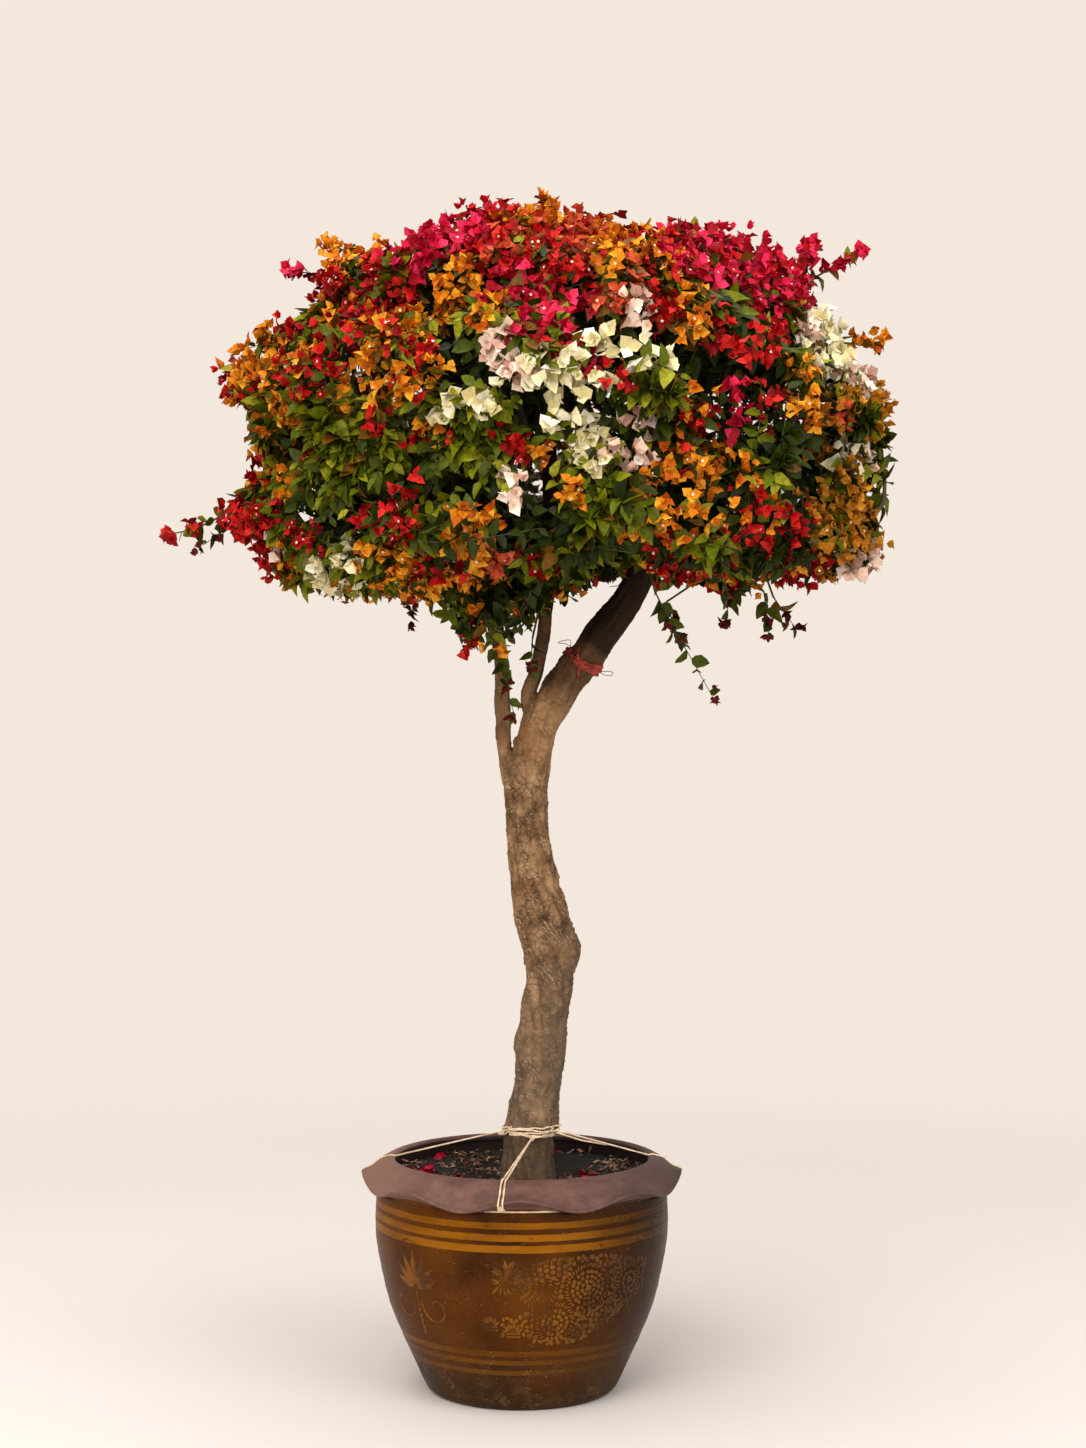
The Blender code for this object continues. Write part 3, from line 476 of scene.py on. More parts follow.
class Slip:
    """The pads of slip on one side of the jar. Along is from that side's middle."""

    def __init__(self, heap, facing, flip, dice):
        self.heap, self.facing, self.flip, self.dice = heap, facing, flip, dice
        self.laid = []

    def pad(self, x, z, long, wide, lean, outline, flip=None):
        """One domed pad: its outline is scaled to its length and width and turned by lean."""
        flip = flip or self.flip
        self.laid.append((x, z))
        points = []
        for share, lift in ((1.0, -0.0004), (0.93, SLIP_RISE * 0.75), (0.62, SLIP_RISE)):
            for u, v in outline:
                u, v = u * long * share, v * wide * share
                along = x + u * math.cos(lean) - v * math.sin(lean)
                height = z + u * math.sin(lean) + v * math.cos(lean)
                turn = self.facing + along * flip / JAR_BODY[1][0]
                radius = jar_radius(height) + lift
                points.append((radius * math.cos(turn), radius * math.sin(turn), height))
        count = len(outline)
        faces = [tuple(range(2 * count, 3 * count))]
        for k in (0, count):
            for i in range(count):
                j = (i + 1) % count
                faces.append((k + i, k + j, k + count + j, k + count + i))
        self.heap.add(points, [f[::flip] for f in faces])

    def pad_round(self, x, z, turn, out, *pad, flat=1.0):
        """A pad at this turn and distance from a place."""
        self.pad(x + math.cos(turn) * out, z + math.sin(turn) * out * flat, *pad)

    def odd(self, length, low, high):
        return length * self.dice.uniform(low, high)

    def coil(self):
        """The scaly neck, in rows across its line, finned above."""
        line = smooth_line(COIL, 3)
        for k, here in enumerate(line):
            before, after = line[max(k - 1, 0)], line[min(k + 1, len(line) - 1)]
            lean = math.atan2(after.y - before.y, after.x - before.x)
            across = Vector((-math.sin(lean), math.cos(lean)))
            for i in range(3):
                off = (i + 0.25 + 0.5 * (k % 2)) / 3 * 2 - 1
                self.pad(*(here.xy + across * here.z * off), self.odd(0.0112, 0.9, 1.1),
                         here.z * 0.60, lean + self.dice.uniform(-0.2, 0.2), SCALE)
            for i in range(2):
                middle = here.xy + across * (here.z + 0.0055) + Vector((0.0056 * i, 0))
                self.pad(*middle, 0.0125, 0.0042, lean + 0.95, LENS)

    def whorl(self, x, z, reach):
        """One turn of the scaly body: rings of scales, finned along its outside."""
        rings = round(reach / 0.0115)
        for ring in range(rings):
            out = reach * (ring + 0.35) / rings
            count = max(3, round(math.tau * out / 0.0118))
            for k in range(count):
                turn = math.tau * (k + 0.5 * (ring % 2)) / count + self.dice.uniform(-0.06, 0.06)
                self.pad_round(x, z, turn, out, self.odd(0.0104, 0.8, 1.08),
                               self.odd(0.0104, 0.75, 1.05), turn + math.pi / 2, SCALE, flat=0.94)
        for k in range(round(math.tau * reach / 0.0062)):
            turn = k * 0.0062 / reach
            out = reach + 0.0045 + 0.002 * (k % 2)
            if z + math.sin(turn) * (out + 0.007) < 0.3585 and math.sin(turn) > -0.75:
                self.pad_round(x, z, turn, out, self.odd(0.0135, 0.8, 1.1), 0.0044,
                               turn - 0.45, LENS)

    def rosette(self, x, z):
        """The leafy head: ragged leaves round dots, a combed mane and two claws."""
        for k in range(15):
            turn = k * math.tau / 15 + self.dice.uniform(-0.16, 0.16)
            long = self.dice.uniform(0.018, 0.032) * (1.35 if 1.2 < turn < 2.6 else 1.0)
            self.pad_round(x, z, turn, 0.012 + long / 2, long, self.odd(long, 0.22, 0.36),
                           turn + self.dice.uniform(-0.5, 0.5), LENS)
        for k in range(20):
            turn, out = k * 2.4, 0.0034 * math.sqrt(k + 0.5)
            self.pad_round(x, z, turn, out, 0.0050, 0.0044, turn, OVAL)
        for row in range(5):
            for k in range(14 - row):
                turn, out = -0.95 + k * 0.125, 0.046 + row * 0.0145
                self.pad_round(x + 0.006, z - 0.010, turn, out, self.odd(0.0138, 0.8, 1.1),
                               0.0042, turn - 0.55, LENS, flat=0.7)
        for x, z in CLAWS:
            for k in range(12):
                turn, out = 0.10 + k * 0.27, 0.014 + 0.005 * (k % 2)
                self.pad_round(x, z, turn, out, self.dice.uniform(0.012, 0.018), 0.0046,
                               turn + 0.3, LENS, flat=0.8)
            for k in range(10):
                self.pad(x - 0.012 + (k % 5) * 0.0066, z - 0.004 - 0.0075 * (k // 5), 0.0064,
                         0.0056, 0.4, OVAL)

    def fill_in(self):
        """Odd scales wherever the coil's outline still has room between those laid."""
        edges = list(zip(COIL_OUTLINE, COIL_OUTLINE[1:] + COIL_OUTLINE[:1]))
        for _ in range(FILL_TRIES):
            x, z = self.dice.uniform(-0.10, 0.32), self.dice.uniform(0.155, 0.352)
            crossed = sum((b > z) != (d > z) and x < a + (z - b) * (c - a) / (d - b)
                          for (a, b), (c, d) in edges)
            room = min(math.hypot(x - u, z - v) for u, v in self.laid)
            if crossed % 2 and room > FILL_ROOM:
                size = min(0.015, room * 1.12)
                self.pad(x, z, self.odd(size, 0.9, 1.1), self.odd(size, 0.6, 0.85),
                         self.dice.uniform(0, 3.1), SCALE)

    def lotus(self, x, z):
        """An open lotus of seven petals on two curled stems, the same way round on each side."""
        for k in range(-3, 4):
            turn = math.pi / 2 - k * 0.40
            long = 0.082 - 0.008 * abs(k)
            self.pad_round(x, z, turn, long * 0.60, long, 0.0170, turn, LENS, 1)
        for side in (-1, 1):
            for k in range(20):
                swing, out = k * 0.30, 0.040 - 0.0017 * k
                self.pad(x + side * (0.052 - math.cos(swing) * out),
                         z - 0.034 - math.sin(swing) * out, 0.0130, 0.0062,
                         side * (swing - math.pi / 2), OVAL, 1)
        for k in range(8):
            self.pad(x, z - 0.010 - k * 0.012, 0.0120, 0.0068, math.pi / 2, OVAL, 1)


def slip_finish():
    """Ochre slip, rubbed through to the brown in places, with painted shade over its right side."""
    ochre = Finish("ochre slip", (128, 80, 16), 0.45, 0.15)
    ochre.colour = tone(76, 44, 5)
    ochre.coat(ochre.grain(0.045, 6.0, Roughness=0.65).step(0.40, 0.60), (122, 74, 14))
    # painted shade: the slip darkened over the jar's right side
    ochre.coat(ochre.x.step(0.06, 0.24) * 0.80, (54, 34, 13))
    return ochre.done(ochre.grain(0.003, 3.0), 0.0003, 0.5)


def lay_slip():
    heap = Heap()
    dice = random.Random(31)
    for facing, flip in ((-math.pi / 2, 1), (math.pi / 2, -1)):
        slip = Slip(heap, facing, flip, dice)
        slip.coil()
        for whorl in WHORLS:
            slip.whorl(*whorl)
        slip.rosette(*ROSETTE)
        slip.fill_in()
        slip.lotus(*LOTUS)
    heap.piece("slip_ornament", [slip_finish()])


lay_slip()


# ---------------------------------------------------------------- the compost
# Black peaty compost, banked a little against the jar's wall, under a litter of dry curled
# bracts. Its surface is crumbly.
SOIL_LEVEL, SOIL_RISE, SOIL_DEPTH = 0.436, 0.032, 0.030
SOIL_REACH, SOIL_GAP, SOIL_BANK = 0.2810, 0.004, (0.09, 0.26)
SOIL_STEPS, SOIL_ROWS = 144, 44


def ramped(value, low, high):
    """0 where the value is below low, 1 above high, and even between."""
    return min(1.0, max(0.0, (value - low) / (high - low)))


def soil_height(x, y):
    """How high the crumbly surface of the compost lies at this place."""
    bank = ramped(math.hypot(x, y), *SOIL_BANK)
    spot = Vector((x, y, 0.0))
    crumbs = 0.0035 * noise.noise(spot * 38) + 0.0030 * noise.noise(spot * 90)
    return SOIL_LEVEL + SOIL_RISE * bank * bank * (3 - 2 * bank) * 0.92 + crumbs + 0.001


def fill_compost():
    heap = Heap()
    bottom = SOIL_LEVEL - SOIL_DEPTH
    profile = [(0.0, bottom), (SOIL_REACH - SOIL_GAP, bottom)]
    profile += [(SOIL_REACH * (SOIL_ROWS - k) / SOIL_ROWS, SOIL_LEVEL) for k in range(SOIL_ROWS)]
    profile.append((0.0, soil_height(0, 0)))

    def shape(radius, height, turn):
        if height == bottom:
            return radius, height
        return radius, soil_height(radius * math.cos(turn), radius * math.sin(turn))

    spun(heap, profile, SOIL_STEPS, lambda k: 0, shape)
    peat = Finish("black compost", (24, 20, 17), 0.9)
    crumbs = peat.grain(0.010, 8.0, Roughness=0.7)
    peat.colour = crumbs.ramp((0.35, (8, 8, 8)), (0.58, (20, 17, 15)), (0.75, (44, 35, 28)))
    made = peat.done(peat.grain(0.004, 6.0), 0.002, 0.9)
    heap.piece("compost_fill", [made], ["soil"])


fill_compost()


# ---------------------------------------------------------------- the litter
# Dry curled bracts and leaf scraps, buff and pinkish brown, that have dropped on the compost
# and gathered towards its edge. A few have only just fallen and are still crimson.
LITTER, LITTER_RING = 1350, (0.10, 0.94)  # how many, and between what shares of the area
TRUNK_FOOT, FOOT_CLEAR = Vector((0.013, 0.0)), 0.082
LITTER_TONES = ((178, 142, 122), (138, 104, 86), (98, 68, 54), (66, 46, 36), (150, 96, 84))
LITTER_SHARES = (0.26, 0.26, 0.20, 0.16, 0.12)
FALLEN_TONES = ((186, 18, 54), (150, 14, 36))
FALLEN = ((-0.205, 0.02), (-0.195, 0.04), (-0.230, -0.02), (-0.215, 0.0), (-0.125, 0.05),
          (-0.145, -0.03), (0.140, 0.06), (0.155, 0.04), (0.125, -0.17), (0.095, -0.16),
          (0.140, -0.16), (0.06, -0.19), (-0.17, 0.17), (0.06, 0.20), (-0.02, -0.24))
CURL_POINTS = ((0, 0), (0.34, 0), (0.68, 0), (1, 0), (0.20, 0.30), (0.50, 0.44), (0.80, 0.28),
               (0.20, -0.30), (0.50, -0.44), (0.80, -0.28))
CURL_FACES = ((0, 1, 5, 4), (1, 2, 6, 5), (2, 3, 6), (0, 7, 8, 1), (1, 8, 9, 2), (2, 9, 3))
CHANCE = np.random.default_rng(11)


def unit(rows):
    return rows / np.maximum(np.linalg.norm(rows, axis=1, keepdims=True), 1e-9)


def frames(along, face):
    """Turns for flat things that run along one way and look towards another."""
    along = unit(along)
    across = unit(np.cross(face, along))
    return np.stack((along, across, np.cross(along, across)), axis=2)


def placed(points, spots, turns, sizes, bend, fold, twist=0.0):
    """Corners of every copy of a flat pattern, each bent along, folded across and twisted."""
    flat = np.array(points, dtype=float)
    u, v = flat[:, 0], flat[:, 1]
    long, wide = sizes[:, :1], sizes[:, 1:2]
    local = np.empty((len(spots), len(flat), 3))
    local[:, :, 0] = u * long
    local[:, :, 1] = v * wide
    local[:, :, 2] = (bend[:, None] * u * u) * long + (fold[:, None] * abs(v)) * wide
    local[:, :, 2] += np.reshape(twist, (-1, 1)) * (u * v) * long
    return spots[:, None] + np.einsum("mij,mnj->mni", turns, local)


def joined(name, corners, faces, picks, finishes, replaced=()):
    """All copies as one piece, each in its own finish."""
    count, size = corners.shape[:2]
    copies = np.arange(count)[:, None]
    loops = np.concatenate([np.array(f) for f in faces])
    starts = np.cumsum([0] + [len(f) for f in faces[:-1]])
    mesh = bpy.data.meshes.new(name)
    mesh.vertices.add(count * size)
    mesh.vertices.foreach_set("co", corners.ravel())
    mesh.loops.add(count * len(loops))
    mesh.loops.foreach_set("vertex_index", (loops + size * copies).ravel())
    mesh.polygons.add(count * len(faces))
    mesh.polygons.foreach_set("loop_start", (starts + len(loops) * copies).ravel())
    mesh.polygons.foreach_set("material_index", np.repeat(picks, len(faces)))
    mesh.polygons.foreach_set("use_smooth", np.ones(count * len(faces), dtype=bool))
    mesh.update(calc_edges=True)
    return settle(mesh, finishes, replaced)


def tissues(name, tones, roughness, vein, dim=0.66):
    """Leaves or bracts, a finish for each tone: quilted lightly and dimmer in patches."""
    found = []
    for k, colour in enumerate(tones):
        made = Finish(f"{name} {k + 1}" if len(tones) > 1 else name, colour, roughness, 0.14)
        dimmer = (*(c * dim for c in made.colour[:3]), 1.0)
        made.colour = made.grain(vein * 1.5, 2.0).ramp((0.38, dimmer), (0.56, made.colour))
        found.append(made.done(made.grain(vein, 3.0), 0.0006, 0.45))
    return found


def on_compost(x, y, lift):
    return x, y, soil_height(x, y) + lift


def drop_litter():
    spots = []
    while len(spots) < LITTER:
        turn = CHANCE.uniform(0, math.tau)
        out = math.sqrt(CHANCE.uniform(*LITTER_RING)) * SOIL_REACH
        x, y = out * math.cos(turn), out * math.sin(turn)
        heap_here = noise.noise(Vector((x * 9, y * 9, 2.0))) + 0.46 * (x < 0 or x > 0.19) - 0.22
        clear = (Vector((x, y)) - TRUNK_FOOT).length > FOOT_CLEAR
        if clear and heap_here > CHANCE.uniform(-0.35, 0.65):
            spots.append(on_compost(x, y, CHANCE.uniform(0.001, 0.006)))
    spots = np.array(spots)
    count = len(spots)
    along = CHANCE.normal(0, 1, (count, 3)) * (1, 1, 0.25)
    face = CHANCE.normal(0, 0.5, (count, 3)) + (0, 0, 1)
    long = CHANCE.uniform(0.008, 0.020, count)
    size = np.stack((long, long * CHANCE.uniform(0.22, 0.5, count)), axis=1)
    curls = placed(CURL_POINTS, spots, frames(along, face), size, CHANCE.uniform(-0.5, 0.7, count),
                   CHANCE.uniform(0.2, 1.2, count))
    joined("litter", curls, CURL_FACES, CHANCE.choice(5, count, p=LITTER_SHARES),
           tissues("dry bract", LITTER_TONES, 0.8, 0.004))
    spots = np.array([on_compost(x + CHANCE.normal(0, 0.006), y + CHANCE.normal(0, 0.006), 0.006)
                      for x, y in FALLEN for _ in range(3)])
    count = len(spots)
    face = CHANCE.normal(0, 0.45, (count, 3)) + (0, 0, 1)
    size = np.stack((CHANCE.uniform(0.020, 0.030, count), CHANCE.uniform(0.016, 0.024, count)),
                    axis=1)
    along = CHANCE.normal(0, 1, (count, 3)) * (1, 1, 0.2)
    petals = placed(CURL_POINTS, spots, frames(along, face), size,
                    CHANCE.uniform(-0.2, 0.5, count), CHANCE.uniform(0.2, 0.7, count))
    joined("fallen_bracts", petals, CURL_FACES, CHANCE.integers(0, 2, count),
           tissues("fallen bract", FALLEN_TONES, 0.65, 0.004))


drop_litter()


# ---------------------------------------------------------------- the trunk and boughs
# One grey-brown stem with a bend and a knot above half its height, that forks into a thick
# bough on the right and two thin ones. Its bark is sinewy, wrinkled and scarred pale.
TRUNK = ((0.014, 0.000, SOIL_LEVEL - 0.012, 0.0600), (0.014, 0.002, 0.505, 0.0555),
         (0.022, 0.006, 0.583, 0.0520), (0.0355, 0.010, 0.671, 0.0510),
         (0.046, 0.008, 0.780, 0.0525), (0.060, 0.002, 0.891, 0.0490),
         (0.062, -0.002, 0.950, 0.0535), (0.0450, -0.004, 1.023, 0.0585),
         (0.0300, -0.002, 1.085, 0.0535), (0.018, 0.003, 1.180, 0.0465),
         (0.009, 0.004, 1.275, 0.0435), (0.007, 0.002, 1.335, 0.0450),
         (0.0065, 0.000, 1.385, 0.0450))
BOUGH_RIGHT = ((0.0100, 0.000, 1.268, 0.0290), (0.0160, 0.000, 1.330, 0.0385),
               (0.0225, 0.000, 1.386, 0.0410), (0.0365, -0.002, 1.448, 0.0400),
               (0.0659, -0.004, 1.498, 0.0390), (0.1049, -0.004, 1.557, 0.0375),
               (0.1415, 0.000, 1.599, 0.0365), (0.1750, 0.006, 1.649, 0.0350),
               (0.2327, 0.012, 1.725, 0.0330))
BOUGH_LEFT = ((-0.0300, 0.001, 1.320, 0.0120), (-0.0370, 0.002, 1.386, 0.0155),
              (-0.0400, 0.004, 1.418, 0.0165), (-0.0420, 0.006, 1.505, 0.0165),
              (-0.0430, 0.008, 1.578, 0.0160), (-0.0510, 0.010, 1.637, 0.0155))
BOUGH_MIDDLE = ((0.0330, 0.012, 1.440, 0.0150), (0.0125, 0.014, 1.505, 0.0160),
                (0.0340, 0.016, 1.578, 0.0155), (0.0478, 0.016, 1.650, 0.0150),
                (0.0544, 0.014, 1.725, 0.0145))
BOUGH_TIP, SIDE_BOUGH, TIP_RUN, ONWARD, ARRIVAL = 0.017, (0.0150, 0.0100), 0.012, 0.45, 0.30
FORK_RUN = 0.81  # how far up the trunk the right bough sets out
BARK_CELL, LIMB_PARTS = 0.0040, 4
GROOVE = (-0.020, 0.60, 0.72)  # where it lies across the front, and from what height to what
KNOT = Vector((0.104, -0.036, 0.955))

# The crown that the boughs run up into: its reach from its middle in the front view, every
# 20 degrees from the right over the top, and the open heart inside it.
CROWN_CENTRE = Vector((0.054, 0.0, 2.118))
CROWN_REACH = (0.76, 0.69, 0.61, 0.51, 0.46, 0.46, 0.51, 0.61, 0.63, 0.67,
               0.68, 0.60, 0.47, 0.46, 0.42, 0.46, 0.65, 0.76)
CROWN_FLATTEN, LUMP = 0.07, 0.035
HEART = Vector((0.060, 0.0, 1.940))
HEART_RADII = Vector((0.290, 0.200, 0.210))
DOOR_SHARE, SEED_DEPTH = 0.93, 0.60
MASSES = {  # turn from the right, rise from the crown's middle, its bough, and how far along it
    "foliage_right": (0, -14, "bough_right", None),
    "foliage_right_back": (62, -20, "bough_right", 0.60),
    "foliage_left_back": (118, -18, "bough_left", 0.72),
    "foliage_left": (180, -16, "bough_left", None),
    "foliage_left_front": (239, -20, "bough_left", 0.60),
    "foliage_right_front": (303, -22, "bough_right", 0.66),
    "foliage_upper_right": (22, 30, "bough_right", 0.86),
    "foliage_upper_back": (96, 28, "bough_middle", 0.78),
    "foliage_upper_left": (176, 30, "bough_left", 0.84),
    "foliage_upper_front": (250, 26, "bough_middle", 0.70),
    "foliage_front": (312, 26, "bough_right", 0.78),
    "foliage_top": (90, 88, "bough_middle", None),
}


def ring_reach(degrees):
    """The crown's reach in the front view at this angle."""
    place = (degrees % 360) / 20
    k = int(place)
    return eased(*(CROWN_REACH[(k + j) % 18] for j in (-1, 0, 1, 2)), place - k)


def crown_reach(way):
    """The crown's reach from its middle in any direction."""
    level = math.hypot(way.x, way.y)
    rise = math.degrees(math.atan2(way.z, level))
    right = (1 + way.x / level) / 2 if level > 1e-6 else 0.5
    depth = (way.y / level) ** 2 if level > 1e-6 else 0.0
    turn = math.atan2(way.y, way.x)
    lump = LUMP * depth * math.sin(4 * turn + 0.7) * math.cos(math.radians(3 * rise))
    around = ring_reach(rise) * right + ring_reach(180 - rise) * (1 - right)
    return around * (1 - CROWN_FLATTEN * depth + lump)


def mass_middle(turn, rise):
    a, e = math.radians(turn), math.radians(rise)
    way = Vector((math.cos(e) * math.cos(a), math.cos(e) * math.sin(a), math.sin(e)))
    return CROWN_CENTRE + way * crown_reach(way) * SEED_DEPTH


MIDDLES = {name: mass_middle(turn, rise) for name, (turn, rise, _, _) in MASSES.items()}


def doorway(name):
    """Where the limb for a mass leaves the crown's heart, and the way in."""
    heading = MIDDLES[name] - HEART
    scaled = Vector(h / r for h, r in zip(heading, HEART_RADII))
    return HEART + heading / scaled.length * DOOR_SHARE, heading.normalized()


def route_to(name, root, along, onward, first_step, wide, thin):
    """Stations of a limb that sets out from its root and arrives straight at its mass."""
    tip, heading = doorway(name)
    span = (tip - root).length
    first, second = root + along * span * onward, tip - heading * span * ARRIVAL
    route = []
    for i in range(first_step, 6):
        t = i / 5
        u = 1 - t
        spot = root * u ** 3 + first * 3 * u * u * t + second * 3 * u * t * t + tip * t ** 3
        route.append(Vector((*spot, wide + (thin - wide) * t)))
    last = route[-1]
    return [*route[:-1], Vector((*(last.xyz - heading * TIP_RUN), last.w)), last]


def main_route(stations, name):
    """A main bough's stations, carried on through the heart to its mass."""
    route = [Vector(s) for s in stations]
    last = route[-1]
    along = (last.xyz - route[-2].xyz).normalized()
    return route + route_to(name, last.xyz, along, ONWARD, 1, last.w, BOUGH_TIP)


def side_route(parent, share, name):
    """A side bough's route, from inside its parent to its mass."""
    place = share * (len(parent) - 1)
    k = int(place)
    root = parent[k].lerp(parent[k + 1], place - k)
    along = (parent[k + 1].xyz - parent[k].xyz).normalized()
    wide, thin = min(SIDE_BOUGH[0], root.w * 0.8), SIDE_BOUGH[1]
    return route_to(name, root.xyz, along, ARRIVAL, 0, wide, thin)


def find_routes():
    """Every limb's line of (x, y, z, radius), by its node's name."""
    routes = {"trunk": [Vector(s) for s in TRUNK]}
    for bough, stations in (("bough_right", BOUGH_RIGHT), ("bough_left", BOUGH_LEFT),
                            ("bough_middle", BOUGH_MIDDLE)):
        own = next(n for n, m in MASSES.items() if m[2] == bough and m[3] is None)
        routes[bough] = main_route(stations, own)
    for name, (_, _, bough, share) in MASSES.items():
        if share is not None:
            routes[name.replace("foliage", "bough_to")] = side_route(routes[bough], share, name)
    return routes


ROUTES = find_routes()


def carried(line):
    """Each point of a line with the way onward and a way aside that never twists."""
    along = (line[1] - line[0]).xyz.normalized()
    side = along.orthogonal().normalized()
    for k, here in enumerate(line):
        ahead = (line[min(k + 1, len(line) - 1)].xyz - line[max(k - 1, 0)].xyz).normalized()
        side = along.rotation_difference(ahead) @ side
        along = ahead
        yield here, along, side


def hose(heap, route, sides):
    """A closed limb round a line of (x, y, z, radius)."""
    points, faces = [], []
    for k, (here, along, side) in enumerate(carried(route)):
        other = along.cross(side)
        for i in range(sides):
            a = math.tau * i / sides
            points.append(here.xyz + (side * math.cos(a) + other * math.sin(a)) * here.w)
        if k:
            low, high = (k - 1) * sides, k * sides
            faces += [(low + i, low + (i + 1) % sides, high + (i + 1) % sides, high + i)
                      for i in range(sides)]
    faces.append(tuple(reversed(range(sides))))
    faces.append(tuple(range(len(points) - sides, len(points))))
    heap.add(points, faces)


class Lines:
    """The limbs' middle lines in small steps, to find what limb a point of bark belongs to."""

    def __init__(self, routes):
        rows = []
        for index, route in enumerate(routes.values()):
            gone = 0.0
            line = smooth_line(route, 6)
            for a, b in zip(line, line[1:]):
                rows.append((*a, *b, gone, index))
                gone += (b.xyz - a.xyz).length
        self.rows = np.array(rows)

    def nearest(self, points):
        """For each point: the limb, how far along it, its radius there, and its way out."""
        best = np.full(len(points), 9.0)
        found = np.zeros((len(points), 6))
        for row in self.rows:
            a, b = row[:3], row[4:7]
            run = b - a
            t = np.clip(((points - a) @ run) / (run @ run), 0, 1)
            out = points - (a + t[:, None] * run)
            radius = row[3] + (row[7] - row[3]) * t
            gap = np.linalg.norm(out, axis=1) - radius
            closer = gap < best
            best[closer] = gap[closer]
            found[closer, 0] = row[9]
            found[closer, 1] = (row[8] + t * np.linalg.norm(run))[closer]
            found[closer, 2] = radius[closer]
            found[closer, 3:] = out[closer]
        return found


LIMB_LINES = Lines(ROUTES)


def bark_relief(limb, along, radius, out, place):
    """How far the bark stands out here, in metres, for a limb of this radius."""
    around = out.normalized() if out.length > 1e-6 else Vector((1, 0, 0))
    trunk = limb == 0
    if limb == 1:
        limb, along = 0, along + FORK_RUN

    def rough(across, up, shift=0.0):
        return noise.noise(Vector((around.x * across, around.y * across, along * up + shift)))

    spot = Vector((around.x * 1.3, around.y * 1.3, along * 7 + around.z + limb * 5))
    lumps = noise.noise(spot * 1.1) * 0.0048 + noise.noise(spot * 2.7) * 0.0034
    lumps += noise.noise(spot * 6.5) * 0.0009
    sinew = (1 - abs(rough(4.2, 7, limb * 9)) * 2.4) * 0.0013 - 0.0007
    sinew += max(0.0, abs(rough(1.6, 13, around.x * 1.9 + limb)) - 0.06) * 0.0130
    scars = max(0.0, rough(6, 60, limb) - 0.20) * 0.0055
    rings = math.sin(along * 520 + noise.noise(spot * 3) * 5) * 0.0007
    rings *= max(0.0, noise.noise(spot * 1.7 + Vector((3, 1, 7))) + 0.15) * 2.2
    relief = (lumps + sinew + scars + rings) * min(1.0, radius / 0.05)
    return relief + trunk_marks(place, out) if trunk else relief


def trunk_marks(place, out):
    """The knot with its rings, the deep groove at the lower left, and the flared foot."""
    far = (place - KNOT).length
    mark = 0.0060 * math.exp(-(far / 0.034) ** 2)
    mark += 0.0011 * math.sin(far * 620) * math.exp(-(far / 0.040) ** 2)
    if out.y < 0:
        across, low, high = GROOVE
        up = place.z - low
        share = ramped(place.z, 0.545, 0.575) * ramped(place.z, high, high - 0.06)
        off = (place.x - across - 0.20 * up) / 0.0062
        mark -= 0.011 * math.exp(-off * off) * share
        off = (place.x - across - 0.14 * up - 0.052) / 0.006
        mark -= 0.0035 * math.exp(-off * off) * share
    low = math.exp(-max(0.0, place.z - SOIL_LEVEL) / 0.035)
    turn = math.atan2(out.y, out.x)
    mark += 0.010 * low * (1 + 0.5 * math.cos(5 * turn + 0.6))
    return mark - 0.0025 * (1 - ramped(place.z, 0.545, 0.565))


